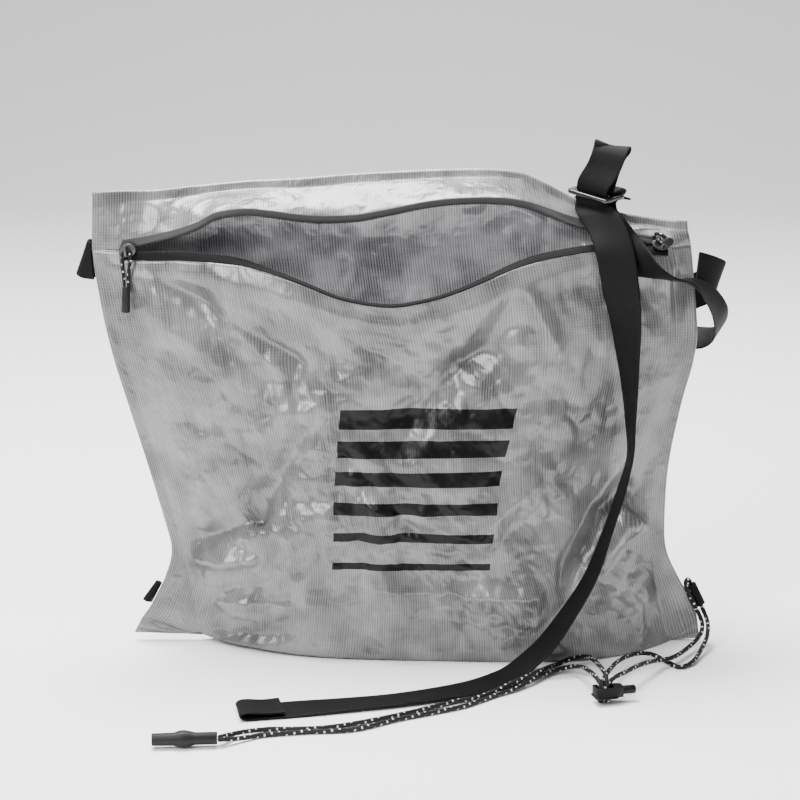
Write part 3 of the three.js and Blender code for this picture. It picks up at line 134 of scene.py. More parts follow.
ZIP_EDGES = Table(
    "across upper upper_forward upper_lean lower lower_forward lower_lean",
    [
        (-0.47, 0.861, 0.05, 0, 0.822, 0.05, 0),
        (-0.444, 0.866, 0.1, 0, 0.822, 0.1, 0),
        (-0.417, 0.873, 0.13, 6, 0.824, 0.18, 6),
        (-0.379, 0.885, 0.2, 14, 0.827, 0.28, 16),
        (-0.34, 0.903, 0.28, 22, 0.827, 0.38, 26),
        (-0.31, 0.923, 0.32, 30, 0.827, 0.48, 36),
        (-0.265, 0.931, 0.34, 34, 0.822, 0.56, 52),
        (-0.227, 0.926, 0.28, 34, 0.811, 0.66, 68),
        (-0.19, 0.919, 0.24, 30, 0.798, 0.74, 78),
        (-0.154, 0.914, 0.2, 26, 0.782, 0.8, 84),
        (-0.117, 0.914, 0.2, 26, 0.764, 0.84, 86),
        (-0.08, 0.917, 0.22, 28, 0.753, 0.86, 86),
        (-0.043, 0.926, 0.26, 32, 0.747, 0.88, 86),
        (-0.012, 0.934, 0.28, 34, 0.747, 0.88, 86),
        (0.023, 0.943, 0.3, 36, 0.755, 0.88, 86),
        (0.056, 0.949, 0.3, 38, 0.765, 0.86, 84),
        (0.091, 0.952, 0.3, 40, 0.78, 0.84, 80),
        (0.127, 0.953, 0.3, 40, 0.798, 0.8, 72),
        (0.161, 0.951, 0.29, 38, 0.815, 0.74, 62),
        (0.196, 0.943, 0.28, 34, 0.829, 0.68, 50),
        (0.232, 0.928, 0.26, 12, 0.838, 0.6, 50),
        (0.267, 0.912, 0.21, -10, 0.844, 0.52, 50),
        (0.296, 0.9, 0.16, -26, 0.848, 0.46, 52),
        (0.332, 0.885, 0.11, -40, 0.849, 0.4, 54),
        (0.374, 0.871, 0.085, -48, 0.843, 0.32, 51),
        (0.4, 0.866, 0.08, -47, 0.838, 0.275, 47),
        (0.425, 0.862, 0.06, -46, 0.8355, 0.24, 46),
    ],
)

FRONT_FOLDS = Table(
    "from_across from_height to_across to_height reach rise",
    [
        (-0.4, 0.19, -0.24, 0.345, 0.34, -0.12),
        (-0.24, 0.345, -0.17, 0.47, 0.4, -0.08),
        (-0.38, 0.185, -0.26, 0.205, 0.26, 0.07),
        (-0.3, 0.245, -0.05, 0.3, 0.44, 0.09),
        (-0.42, 0.78, -0.18, 0.58, 0.44, -0.1),
        (-0.33, 0.77, -0.24, 0.7, 0.44, 0.09),
        (0, 0.52, 0.17, 0.7, 0.52, -0.08),
        (-0.1, 0.42, 0.1, 0.36, 0.6, 0.07),
        (0.435, 0.48, 0.36, 0.33, 0.34, -0.14),
        (0.36, 0.33, 0.28, 0.2, 0.34, -0.16),
        (0.415, 0.4, 0.385, 0.29, 0.2, -0.16),
        (0.37, 0.27, 0.32, 0.2, 0.18, 0.1),
    ],
)

# Creases are sharper than the folds; both give reach and rise as shares of the depth.
FRONT_CREASES = Table(
    "from_across from_height to_across to_height reach rise",
    [
        (0.42, 0.40, 0.385, 0.30, 0.22, -0.12),
        (0.385, 0.30, 0.375, 0.26, 0.16, 0.08),
        (0.44, 0.46, 0.33, 0.30, 0.26, -0.10),
        (0.33, 0.30, 0.27, 0.16, 0.24, -0.10),
        (0.33, 0.23, 0.36, 0.31, 0.16, 0.10),
        (0.36, 0.29, 0.42, 0.245, 0.14, 0.09),
        (-0.40, 0.235, -0.34, 0.26, 0.14, 0.10),
        (-0.40, 0.18, -0.26, 0.205, 0.14, 0.09),
        (-0.40, 0.20, -0.25, 0.30, 0.20, -0.12),
        (-0.25, 0.30, -0.17, 0.47, 0.22, -0.09),
        (-0.42, 0.80, -0.17, 0.62, 0.24, -0.10),
        (-0.30, 0.72, -0.22, 0.62, 0.28, 0.10),
        (-0.08, 0.34, 0.12, 0.26, 0.30, 0.10),
        (-0.10, 0.44, 0.00, 0.30, 0.24, -0.08),
        (0.00, 0.52, 0.17, 0.70, 0.26, -0.08),
        (0.19, 0.78, 0.24, 0.66, 0.18, 0.08),
        (0.14, 0.30, 0.25, 0.42, 0.30, 0.08),
        (-0.05, 0.16, 0.20, 0.14, 0.26, 0.07),
        (-0.30, 0.10, -0.08, 0.13, 0.24, 0.06),
    ],
)

LAST_SECTION = float(SECTIONS.last)


def ease(value):
    value = np.clip(value, 0.0, 1.0)
    return value * value * (3 - 2 * value)


def mix(a, b, t):
    return a + (b - a) * t


def fold_rise(folds, across, height, depth, sharpness=2.0):
    rise = np.zeros_like(across)
    c = folds.columns
    for i in range(folds.last + 1):
        run_x = (c["to_across"][i] - c["from_across"][i]) * BAG_WIDTH
        run_z = (c["to_height"][i] - c["from_height"][i]) * BAG_HEIGHT
        x = (across - c["from_across"][i]) * BAG_WIDTH
        z = (height - c["from_height"][i]) * BAG_HEIGHT
        t = np.clip((x * run_x + z * run_z) / (run_x**2 + run_z**2), 0, 1)
        distance = np.hypot(x - t * run_x, z - t * run_z)
        reach = c["reach"][i] * depth
        if sharpness == 2.0:
            nearness = np.maximum(0, 1 - (distance / reach) ** 2) ** 2
        else:
            nearness = np.maximum(0, 1 - distance / reach) ** sharpness
        rise = rise + c["rise"][i] * depth * nearness
    return rise


def body_point(side, u, position):
    read = lambda name: SECTIONS.at(name, position)
    left = read("left")
    right = read("right")
    across = mix(left, right, u)
    body_left = read("body_left")
    body_right = read("body_right")
    filled = np.clip((across - body_left) / (body_right - body_left), 0, 1)
    squareness = read("square") if side < 0 else BACK_SQUARENESS
    fullness = 1 - np.abs(2 * filled - 1) ** squareness
    allowance = SEAM_ALLOWANCE / BAG_WIDTH
    from_left = ease((across - left) / np.maximum(body_left - left, allowance))
    from_right = ease((right - across) / np.maximum(right - body_right, allowance))
    from_seam = np.where(across < (body_left + body_right) / 2, from_left, from_right)
    seam_height = mix(read("left_height"), read("right_height"), u)
    lift = read("lift") * np.clip(1 - filled / LIFT_REACH, 0, 1) ** 2
    body_height = np.maximum(read("height"), WALL / 2 / BAG_HEIGHT) + lift
    openness = np.clip((body_height - OPENING_START) / (1 - OPENING_START), 0, 1)
    top_height = TOP_EDGE.at("height", TOP_EDGE.row_where("across", across))
    height = mix(seam_height, body_height, from_seam) - (1 - top_height) * openness**2
    reach = FRONT_DEPTH if side < 0 else BACK_DEPTH
    depth = reach * read("front" if side < 0 else "back")
    if side < 0:
        depth = depth * (1 + read("skew") * (2 * filled - 1))
    under = np.clip(read("under"), 0, 1)
    rise = fold_rise(FRONT_FOLDS if side < 0 else BACK_FOLDS, across, height, reach)
    share = np.minimum(1, 4 * fullness) * np.clip(height / FOLD_MARGIN, 0, 1)
    share = share * np.clip((FOLD_CEILING - height) / FOLD_MARGIN, 0, 1)
    outward = depth * fullness + rise * share
    seam_plane = side * (SEAM_PLANE + BASE_SEAM_RELIEF * under)
    base_seam = BASE_SEAM_SET * ease(3 * (1 - np.abs(2 * filled - 1) ** BACK_SQUARENESS))
    y = mix(seam_plane + side * outward, seam_plane + base_seam, under)
    return np.stack([across * BAG_WIDTH, y, height * BAG_HEIGHT], axis=-1)


LEFT_TOP = SECTIONS.columns["left"][1] * BAG_WIDTH
RIGHT_TOP = SECTIONS.columns["right"][1] * BAG_WIDTH
ZIP_START = ZIP_EDGES.columns["across"][0] * BAG_WIDTH
ZIP_END = ZIP_EDGES.columns["across"][-1] * BAG_WIDTH


def zip_point(half, x):
    inside = np.clip(x, ZIP_START, ZIP_END) / BAG_WIDTH
    row = ZIP_EDGES.row_where("across", inside)
    y = -SEAM_PLANE - ZIP_EDGES.at(half + "_forward", row) * FRONT_DEPTH
    return np.stack([x, y, ZIP_EDGES.at(half, row) * BAG_HEIGHT], axis=-1)


def cloth_edge(half, x):
    point = zip_point(half, x)
    other = zip_point("lower" if half == "upper" else "upper", x)
    outside = (x < ZIP_START) | (x > ZIP_END)
    middle = (point[..., 2] + other[..., 2]) / 2
    fade = np.where(
        x < ZIP_START, (x - LEFT_TOP) / (ZIP_START - LEFT_TOP), (RIGHT_TOP - x) / (RIGHT_TOP - ZIP_END)
    )
    offset = SEAM_GAP / 2 if half == "upper" else -SEAM_GAP / 2
    closed_y = mix(-SEAM_PLANE, (point[..., 1] + other[..., 1]) / 2, ease(fade))
    point[..., 2] = np.where(outside, middle + offset, point[..., 2])
    point[..., 1] = np.where(outside, closed_y, point[..., 1])
    return point


def share_of(x):
    return (x - LEFT_TOP) / (RIGHT_TOP - LEFT_TOP)


def front_point(x, position):
    u = share_of(x)
    point = body_point(-1, u, position)
    share = np.clip((LIP_BLEND_END - position) / (LIP_BLEND_END - LIP_POSITION), 0, 1) ** 1.5
    offset = cloth_edge("lower", x) - body_point(-1, u, np.full_like(x, LIP_POSITION))
    return point + offset * share[..., None]


def run_lengths(points):
    steps = np.linalg.norm(np.diff(points, axis=0), axis=-1)
    return np.concatenate([np.zeros_like(steps[:1]), np.cumsum(steps, axis=0)])


def even_positions(point_at, low, high, count):
    dense = np.linspace(low, high, 400)
    length = run_lengths(point_at(dense))
    return np.interp(np.linspace(0, length[-1], count), length, dense)


def grid_normals(points):
    normal = np.cross(np.gradient(points, axis=1), np.gradient(points, axis=0))
    return normal / np.maximum(np.linalg.norm(normal, axis=-1, keepdims=True), 1e-12)


def flat_layout(points, shares):
    """Millimetres on the flat cloth: across from its middle, and up from its lower edge."""
    down = run_lengths(points) * 1000
    middle = slice(points.shape[1] // 4, -(points.shape[1] // 4))
    up = (down[-1][None] - down)[:, middle].mean(axis=1)
    return np.stack(np.meshgrid((shares - 0.5) * BAG_WIDTH * 1000, up), axis=-1)


def mesh_from_grid(name, points, layout, closed=False):
    """A sheet, or a closed tube, with its flat pattern in millimetres as its texture layout."""
    rows, columns = points.shape[:2]
    mesh = bpy.data.meshes.new(name)
    built = bmesh.new()
    verts = [built.verts.new(point) for point in points.reshape(-1, 3)]
    flat = layout.reshape(-1, 2)
    uv = built.loops.layers.uv.new("flat")
    for row in range(rows - 1):
        for column in range(columns if closed else columns - 1):
            beside = (column + 1) % columns
            ids = (
                row * columns + column,
                (row + 1) * columns + column,
                (row + 1) * columns + beside,
                row * columns + beside,
            )
            face = built.faces.new([verts[i] for i in ids])
            face.smooth = True
            for loop, i in zip(face.loops, ids):
                once_round = 1.0 if closed and beside == 0 and i % columns == 0 else 0.0
                loop[uv].uv = (flat[i][0] + once_round, flat[i][1])
    built.to_mesh(mesh)
    built.free()
    obj = bpy.data.objects.new(name, mesh)
    bpy.context.scene.collection.objects.link(obj)
    return obj


def thicken(obj, thickness, inner=0):
    made = obj.modifiers.new("thickness", "SOLIDIFY")
    made.thickness = thickness
    made.offset = 0.0
    made.material_offset = inner
    made.use_rim = True


def dress(obj, materials, *nodes):
    for material in materials:
        obj.data.materials.append(material)
    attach(obj, "lock_button" if nodes[0] == "cord_lock_button" else "bag")
    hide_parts(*nodes)
    return obj


def lattice_noise(x, y, seed):
    rng = np.random.RandomState(seed)
    size = 256
    gradients = rng.uniform(0, 2 * math.pi, (size, size))
    xi = np.floor(x).astype(int)
    yi = np.floor(y).astype(int)
    xf = x - xi
    yf = y - yi

    def corner(dx, dy):
        angle = gradients[(xi + dx) % size, (yi + dy) % size]
        return np.cos(angle) * (xf - dx) + np.sin(angle) * (yf - dy)

    sx = xf * xf * xf * (xf * (xf * 6 - 15) + 10)
    sy = yf * yf * yf * (yf * (yf * 6 - 15) + 10)
    top = mix(corner(0, 0), corner(1, 0), sx)
    bottom = mix(corner(0, 1), corner(1, 1), sx)
    return mix(top, bottom, sy)


def crumple(u, v, scale, seed):
    """Noise folded into sharp ridges and valleys, as creased film lies."""
    x = u / scale
    y = v / scale
    wx = x + 0.35 * lattice_noise(x * 0.7, y * 0.7, seed + 5)
    wy = y + 0.35 * lattice_noise(x * 0.7, y * 0.7, seed + 9)
    ridges = np.abs(lattice_noise(wx, wy, seed))
    valleys = np.abs(lattice_noise(wy * 0.9 + 11.3, wx * 0.9 + 3.1, seed + 1))
    return valleys - ridges


class Wire:
    """One output of a node; sums and products of wires make the nodes that work them out."""

    def __init__(self, shader, socket):
        self.shader = shader
        self.socket = socket

    def math(self, operation, *others):
        values = {0: self}
        values.update({index + 1: other for index, other in enumerate(others)})
        return self.shader.node("ShaderNodeMath", values, operation=operation)

    def __add__(self, other):
        return self.math("ADD", other)

    def __radd__(self, other):
        return self.math("ADD", other)

    def __sub__(self, other):
        return self.math("SUBTRACT", other)

    def __rsub__(self, other):
        return (self * -1.0) + other

    def __mul__(self, other):
        return self.math("MULTIPLY", other)

    def __rmul__(self, other):
        return self.math("MULTIPLY", other)

    def __truediv__(self, other):
        return self.math("DIVIDE", other)

    def __gt__(self, other):
        return self.math("GREATER_THAN", other)

    def __lt__(self, other):
        return self.math("LESS_THAN", other)


class Shader:
    def __init__(self, name):
        self.material = bpy.data.materials.new(name)
        self.material.use_nodes = True
        self.nodes = self.material.node_tree.nodes
        self.links = self.material.node_tree.links
        self.surface = self.nodes["Principled BSDF"]

    def node(self, kind, values=None, output=0, **settings):
        made = self.nodes.new(kind)
        for key, value in settings.items():
            setattr(made, key, value)
        for key, value in (values or {}).items():
            self.feed(made.inputs[key], value)
        return Wire(self, made.outputs[output])

    def feed(self, socket, value):
        if isinstance(value, Wire):
            self.links.new(value.socket, socket)
        else:
            socket.default_value = value

    def set(self, name, value):
        self.feed(self.surface.inputs[name], value)

    def uv(self):
        place = self.node("ShaderNodeUVMap", uv_map="flat")
        split = self.nodes.new("ShaderNodeSeparateXYZ")
        self.links.new(place.socket, split.inputs[0])
        return Wire(self, split.outputs[0]), Wire(self, split.outputs[1])

    def vector(self, x, y, z=0.0):
        return self.node("ShaderNodeCombineXYZ", {0: x, 1: y, 2: z})

    def noise(self, vector, scale, detail=2.0, kind="FBM", roughness=0.5):
        values = {"Vector": vector, "Scale": scale, "Detail": detail, "Roughness": roughness}
        return self.node("ShaderNodeTexNoise", values, noise_type=kind)

    def step(self, value, low, high):
        values = {"Value": value, "From Min": low, "From Max": high, "To Min": 0.0, "To Max": 1.0}
        return self.node("ShaderNodeMapRange", values, interpolation_type="SMOOTHSTEP")

    def colour(self, factor, dark, light):
        mixed = self.node(
            "ShaderNodeMix", {"Factor": factor}, output=2, data_type="RGBA", clamp_factor=True
        )
        node = mixed.socket.node
        self.feed(node.inputs[6], dark)
        self.feed(node.inputs[7], light)
        return mixed

    def bump(self, height, distance, strength):
        return self.node("ShaderNodeBump", {"Height": height, "Distance": distance, "Strength": strength})


def grey(value, blue=0.0):
    return (value, value, value * (1.0 + blue), 1.0)


UPRIGHT_THREADS = 3.55
LEVEL_THREADS = 4.1
# Size of the broad patches of painted light and painted shade on the laminate.
FACET_LIGHT_PATCHES = 0.030
CRINKLES = 0.040
FINE_CRINKLES = 0.16
INK = 0.005
STRIPES_LOW = 118.0
STRIPES_HIGH = 232.0
STRIPES_MIDDLE = 6.0
STRIPES_HALF = 62.0
STRIPES_SLANT = 0.22
STRIPE_COUNT = 6.0


def stripe_block(shader, u, v):
    """The print: graded level stripes in dark ink, with slanted ends."""
    rise = (v - STRIPES_LOW) / (STRIPES_HIGH - STRIPES_LOW)
    leaning = u - STRIPES_MIDDLE - (v - (STRIPES_LOW + STRIPES_HIGH) / 2) * STRIPES_SLANT
    phase = (rise * STRIPE_COUNT).math("FRACT")
    stripes = phase < (rise * 0.5 + 0.22)
    inside = (rise > 0.0) * (rise < 1.0)
    sides = leaning.math("ABSOLUTE") < STRIPES_HALF
    return stripes * inside * sides


def laminate(name, dark, light, rough, blue=0.0, printed=False):
    """A clear film over dark threads: upright ones of uneven spacing and finer level ones, under broad
    patches of painted light and painted shade that stand for the lit and shaded facets of the crumpled film.
    """
    shader = Shader(name)
    u, v = shader.uv()
    drift = shader.noise(shader.vector(u * 0.25, v * 0.012), 1.0, 2.0)
    upright = (u * UPRIGHT_THREADS + drift * 5.0).math("SINE") * 0.5 + 0.5
    level = (v * LEVEL_THREADS).math("SINE") * 0.5 + 0.5
    wander = shader.noise(shader.vector(u * 1.3, v * 0.05), 1.0, 1.0)
    cross = shader.noise(shader.vector(u * 0.05, v * 1.3), 1.0, 1.0)
    # Broad soft patches, lighter and darker: painted light and painted shade of the crumpled film's facets.
    facet_light_and_shade = shader.noise(shader.vector(u * FACET_LIGHT_PATCHES, v * FACET_LIGHT_PATCHES), 1.0, 4.0)
    weave = upright * 0.41 + level * 0.09 + wander * 0.30 + cross * 0.20
    shade = shader.step(weave, 0.17, 0.83) * 0.58 + shader.step(facet_light_and_shade, 0.35, 0.65) * 0.42
    colour = shader.colour(shade, grey(dark, blue), grey(light, blue))
    if printed:
        ink = stripe_block(shader, u, v)
        colour = shader.colour(ink, colour, grey(INK))
        rough = ink * 0.08 + rough
        shader.set("Metallic", ink * 0.8)
    broad = shader.vector(u * CRINKLES, v * CRINKLES)
    small = shader.vector(u * FINE_CRINKLES, v * FINE_CRINKLES, 4.0)
    crinkle = shader.noise(broad, 1.0, 4.0, "RIDGED_MULTIFRACTAL", 0.6)
    fine = shader.noise(small, 1.0, 3.0, "RIDGED_MULTIFRACTAL")
    shader.set("Base Color", colour)
    shader.set("Roughness", rough)
    shader.set("Specular IOR Level", 0.9)
    shader.set("Normal", shader.bump(crinkle * 0.62 + fine * 0.14 + weave * 0.02, 0.0046, 0.8))
    return shader.material


outer_front = laminate("laminate_front", 0.014, 0.225, 0.30, printed=True)
outer_back = laminate("laminate_back", 0.014, 0.225, 0.30)
inner_film = laminate("laminate_inside", 0.08, 0.60, 0.24, blue=0.05)

CRUMPLES = [(85.0, 0.0085), (40.0, 0.0064), (17.0, 0.0026)]
FINE_CRUMPLE = (8.0, 0.0007)
LOUD_PATCH = 90.0
SIDE_CALM = 0.035
BASE_CALM = 0.03
FLAP_CALM = 0.012
LIP_CALM = 22.0
HEM_DEPTH = 12.0
HEM_RISE = 0.0030
STRAP_ACROSS = 0.20
STRAP_HEIGHT = 0.50
STRAP_FADE = 0.06


def press_cloth(points, flat, side, creases, seed, strength):
    """Crumple and creases pressed into a sheet, calm at its edges and held in where a strap lies on it."""
    u = flat[..., 0]
    v = flat[..., 1]
    across = points[..., 0] / BAG_WIDTH
    height = points[..., 2] / BAG_HEIGHT
    down = run_lengths(points) * 1000
    columns = points.shape[1]
    edge = np.minimum(np.arange(columns), np.arange(columns)[::-1]) / columns
    from_edge = ease(edge / SIDE_CALM)[None, :]
    from_lip = ease(down / LIP_CALM)
    from_base = ease((height - 0.004) / BASE_CALM)
    from_flap = ease((np.abs(points[..., 1]) - 0.0025) / FLAP_CALM)
    calm = from_edge * from_lip * from_base * from_flap
    large = sum(crumple(u, v, size, seed + 20 * i) * depth for i, (size, depth) in enumerate(CRUMPLES))
    tiny = crumple(u, v, FINE_CRUMPLE[0], seed + 60) * FINE_CRUMPLE[1]
    patches = lattice_noise(u / LOUD_PATCH, v / LOUD_PATCH, seed + 80)
    loud = 0.55 + 0.9 * np.clip(patches + 0.35, 0, 1)
    amount = large * strength * loud + tiny
    behind_strap = ease((across - STRAP_ACROSS) / STRAP_FADE)
    amount = np.where(amount > 0, amount * mix(0.7, 0.15, behind_strap), amount)
    amount = amount + fold_rise(creases, across, height, FRONT_DEPTH, 1.35)
    if side > 0:
        held_in = np.maximum(behind_strap, ease((height - STRAP_HEIGHT) / STRAP_FADE))
        amount = np.where(amount > 0, amount * (1 - held_in), amount)
    normal = grid_normals(points)
    outward = normal * np.sign(side * normal[..., 1:2] + 1e-9)
    hem = HEM_RISE * np.clip(down / HEM_DEPTH, 0, 1) * np.clip(2 - down / HEM_DEPTH, 0, 1)
    return points + outward * (amount * calm + hem * from_edge)[..., None]


FRONT_COLUMNS = 250
FRONT_ROWS = 194
front_x = np.linspace(LEFT_TOP, RIGHT_TOP, FRONT_COLUMNS)
front_rows = even_positions(
    lambda p: front_point(np.zeros_like(p), p), LIP_POSITION, LAST_SECTION, FRONT_ROWS
)
grid_x, grid_p = np.meshgrid(front_x, front_rows)
front = front_point(grid_x, grid_p)
front_flat = flat_layout(front, share_of(front_x))
front = press_cloth(front, front_flat, -1, FRONT_CREASES, 3, 1.0)
front_panel = mesh_from_grid("front_panel_cloth", front, front_flat)
thicken(front_panel, CLOTH_WALL, 1)
dress(front_panel, [outer_front, inner_film], "front_panel")

# Back panel
# One sheet of the same laminate from the top edge down, welded to the front in the side seams and folded
# under the base to meet it. The short strap lies on it, so it stays flatter there.
BACK_DEPTH = 0.040
BASE_SECTION = 11.0
BACK_COLUMNS = 236
BACK_ROWS = 204

BACK_FOLDS = Table(
    "from_across from_height to_across to_height reach rise",
    [
        (-0.36, 0.25, -0.1, 0.42, 0.6, -0.12),
        (0.36, 0.28, 0.12, 0.5, 0.6, -0.12),
        (-0.15, 0.66, 0.2, 0.62, 0.7, 0.1),
    ],
)

BACK_CREASES = Table(
    "from_across from_height to_across to_height reach rise",
    [
        (-0.36, 0.25, -0.08, 0.44, 0.40, -0.10),
        (0.36, 0.28, 0.10, 0.52, 0.40, -0.10),
        (-0.30, 0.80, 0.05, 0.60, 0.36, 0.07),
        (0.05, 0.60, 0.32, 0.74, 0.36, 0.06),
    ],
)


def back_point(u, position):
    point = body_point(1, u, position)
    under = np.clip(SECTIONS.at("under", position), 0, 1)
    base = body_point(1, u, np.full_like(u, BASE_SECTION))
    last = body_point(1, u, np.full_like(u, LAST_SECTION))
    point[..., 1] = np.where(under > 0, mix(base[..., 1], last[..., 1], under), point[..., 1])
    return point


back_u = np.linspace(0, 1, BACK_COLUMNS)
back_rows = even_positions(lambda p: back_point(np.full_like(p, 0.5), p), 0.0, LAST_SECTION, BACK_ROWS)
grid_u, grid_p = np.meshgrid(back_u, back_rows)
back = back_point(grid_u, grid_p)
back_flat = flat_layout(back, back_u)
back = press_cloth(back, back_flat, 1, BACK_CREASES, 31, 0.9)
back_panel = mesh_from_grid("back_panel_cloth", back, back_flat)
thicken(back_panel, CLOTH_WALL, 1)
dress(back_panel, [inner_film, outer_back], "back_panel")

# Top panel
# The strip of laminate above the zip, joined along the top edge to the back panel behind it.
# It hangs a little and catches the light from above.
TOP_FLANGE = 0.005
TOP_ROWS = 40
TOP_FADE = 0.02
TOP_CRUMPLE = 26.0
TOP_CRUMPLE_RISE = 0.004


def top_points(x, share):
    edge = cloth_edge("upper", x)
    back = body_point(1, share_of(x), np.zeros_like(x))
    foot = back.copy()
    foot[..., 1] -= WALL + SEAM_GAP
    foot[..., 2] -= TOP_FLANGE * (1 - np.clip((share - 0.9) / 0.1, 0, 1))
    point = mix(edge, foot, ease(share)[..., None] * 0.5 + share[..., None] * 0.5)
    hang = np.sin(share * math.pi) * TOP_FLANGE / 2 * ease((x - LEFT_TOP) / (4 * SEAM_ALLOWANCE))
    point[..., 1] -= hang
    return point


grid_x, grid_s = np.meshgrid(front_x, np.linspace(0, 1, TOP_ROWS))
top = top_points(grid_x, grid_s)
top_flat = flat_layout(top, share_of(front_x))
fade = ease((grid_x - LEFT_TOP) / TOP_FADE) * ease((RIGHT_TOP - grid_x) / TOP_FADE)
fade = np.sin(np.clip(grid_s, 0, 1) * math.pi) * fade
top[..., 1] -= crumple(top_flat[..., 0], top_flat[..., 1], TOP_CRUMPLE, 71) * TOP_CRUMPLE_RISE * fade
top_panel = mesh_from_grid("top_panel_cloth", top[::-1], top_flat[::-1])
thicken(top_panel, CLOTH_WALL, 1)
dress(top_panel, [outer_back, inner_film], "top_panel")

# Zip tapes
# The two halves of a coated zip, opened: each is a flat woven tape, stitched behind the laminate's edge, with
# a row of nylon coils along its open side.
TAPE_THICKNESS = 0.0010
TAPE_STEPS = 260
TAPE_ROWS = (-0.0006, 0.0, 0.0022, 0.0050)
COIL_RADIUS = 0.000648
COIL_PITCH = 0.0012
COIL_SIDES = 8
WIRE_RADIUS = 0.00028
WIRE_SIDES = 5
WIRE_STEP = 0.0005


def zip_lean(half, x):
    lean = np.radians(ZIP_EDGES.at(half + "_lean", ZIP_EDGES.row_where("across", x / BAG_WIDTH)))
    sign = -1 if half == "upper" else 1
    return np.stack([np.zeros_like(lean), np.sin(lean), sign * np.cos(lean)], axis=-1)


def evenly(path, step):
    length = run_lengths(path)
    places = np.linspace(0, length[-1], max(3, int(length[-1] / step) + 1))
    return np.stack([np.interp(places, length, path[:, i]) for i in range(3)], axis=1), places


def weld(obj, distance):
    joined = bmesh.new()
    joined.from_mesh(obj.data)
    bmesh.ops.remove_doubles(joined, verts=joined.verts, dist=distance)
    bmesh.ops.recalc_face_normals(joined, faces=joined.faces)
    joined.to_mesh(obj.data)
    joined.free()


def tube(name, path, radius, sides, places):
    tangents = np.gradient(path, axis=0)
    tangents /= np.linalg.norm(tangents, axis=1, keepdims=True)
    start = np.cross(tangents[0], [0.0, 0.0, 1.0])
    if np.linalg.norm(start) < 0.1:
        start = np.cross(tangents[0], [1.0, 0.0, 0.0])
    normal = start / np.linalg.norm(start)
    angles = np.arange(sides) * 2 * math.pi / sides
    rings = [np.repeat(path[:1], sides, axis=0)]
    for tangent, centre in zip(tangents, path):
        normal = normal - tangent * np.dot(normal, tangent)
        normal /= np.linalg.norm(normal)
        side = np.cross(tangent, normal)
        rings.append(centre + radius * (np.cos(angles)[:, None] * normal + np.sin(angles)[:, None] * side))
    rings.append(np.repeat(path[-1:], sides, axis=0))
    lengths = np.concatenate([places[:1], places, places[-1:]]) * 1000
    layout = np.stack(np.meshgrid(np.arange(sides) / sides, lengths), axis=-1)
    obj = mesh_from_grid(name, np.array(rings), layout, closed=True)
    weld(obj, 1e-6)
    return obj


def plain(name, value, rough, coat=0.0, relief=None):
    """One grey finish; relief gives the scale and depth of a fine grain."""
    shader = Shader(name)
    shader.set("Base Color", grey(value))
    shader.set("Roughness", rough)
    shader.set("Specular IOR Level", 0.35 if coat else 0.2)
    if coat:
        shader.set("Coat Weight", coat)
        shader.set("Coat Roughness", 0.08)
    if relief:
        spot = shader.node("ShaderNodeTexCoord", output=3)
        shader.set("Normal", shader.bump(shader.noise(spot, relief[0], 3.0), relief[1], 0.5))
    return shader.material


coil_grey = plain("coil_grey", 0.020, 0.32)


def tape(half, node, material):
    x = np.linspace(ZIP_START + SEAM_GAP, ZIP_END - SEAM_GAP, TAPE_STEPS)
    edge = zip_point(half, x)
    lean = zip_lean(half, x)
    points = np.stack([edge + lean * step for step in TAPE_ROWS])
    obj = mesh_from_grid("zip_tape_" + half, points, flat_layout(points, np.linspace(0, 1, len(x))))
    thicken(obj, TAPE_THICKNESS)
    dress(obj, [material], node)
    path, _ = evenly(points[-1], COIL_PITCH / COIL_SIDES)
    tangent = np.gradient(path, axis=0)
    tangent /= np.linalg.norm(tangent, axis=1, keepdims=True)
    out = np.stack([np.interp(path[:, 0], x, lean[:, i]) for i in range(3)], axis=1)
    out /= np.linalg.norm(out, axis=1, keepdims=True)
    across = np.cross(tangent, out)
    turn = np.arange(len(path)) * 2 * math.pi / COIL_SIDES
    coil = path + COIL_RADIUS * (np.cos(turn)[:, None] * out + np.sin(turn)[:, None] * across)
    wire = tube("zip_coil_" + half, coil, WIRE_RADIUS, WIRE_SIDES, np.arange(len(coil)) * WIRE_STEP)
    wire.data.materials.append(coil_grey)
    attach(wire, "bag")


# Both halves are the same dark coated tape: the upper one's paler base colour is a painted highlight, the
# lower one's near-black base colour is painted shade.
tape("upper", "zip_tape_upper", plain("tape_painted_light", 0.050, 0.30, relief=(700.0, 0.0002)))
tape("lower", "zip_tape_lower", plain("tape_painted_shade", 0.002, 0.80, relief=(700.0, 0.0002)))

# Sliders
# A cast metal slider stands at each end of the open zip, with a hole for its cord pull.
# Both are the solids' own shapes with their edges rounded.
def shape(name, built, bevel=0.0):
    if bevel:
        bmesh.ops.bevel(
            built, geom=[e for e in built.edges if e.calc_face_angle(0) > 0.6],
            offset=bevel, segments=2, profile=0.5, affect="EDGES", material=-1,
        )
    for face in built.faces:
        face.smooth = True
    mesh = bpy.data.meshes.new(name)
    built.to_mesh(mesh)
    built.free()
    mesh.set_sharp_from_angle(angle=math.radians(38))
    obj = bpy.data.objects.new(name, mesh)
    bpy.context.scene.collection.objects.link(obj)
    return obj


def cad_mesh(name, material, node, bevel=0.0003):
    """The solid's own shape with its edges rounded, for the hard pieces."""
    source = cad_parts[node]
    built = bmesh.new()
    built.from_mesh(source.data)
    built.transform(source.matrix_world)
    bmesh.ops.remove_doubles(built, verts=built.verts, dist=1e-6)
    bmesh.ops.dissolve_limit(built, angle_limit=0.02, verts=built.verts, edges=built.edges)
    obj = shape(name, built, bevel)
    return dress(obj, [material], node)


metal_grey = plain("metal_grey", 0.05, 0.3, 0.3)
cad_mesh("slider_left_metal", metal_grey, "slider_left")
cad_mesh("slider_right_metal", metal_grey, "slider_right")

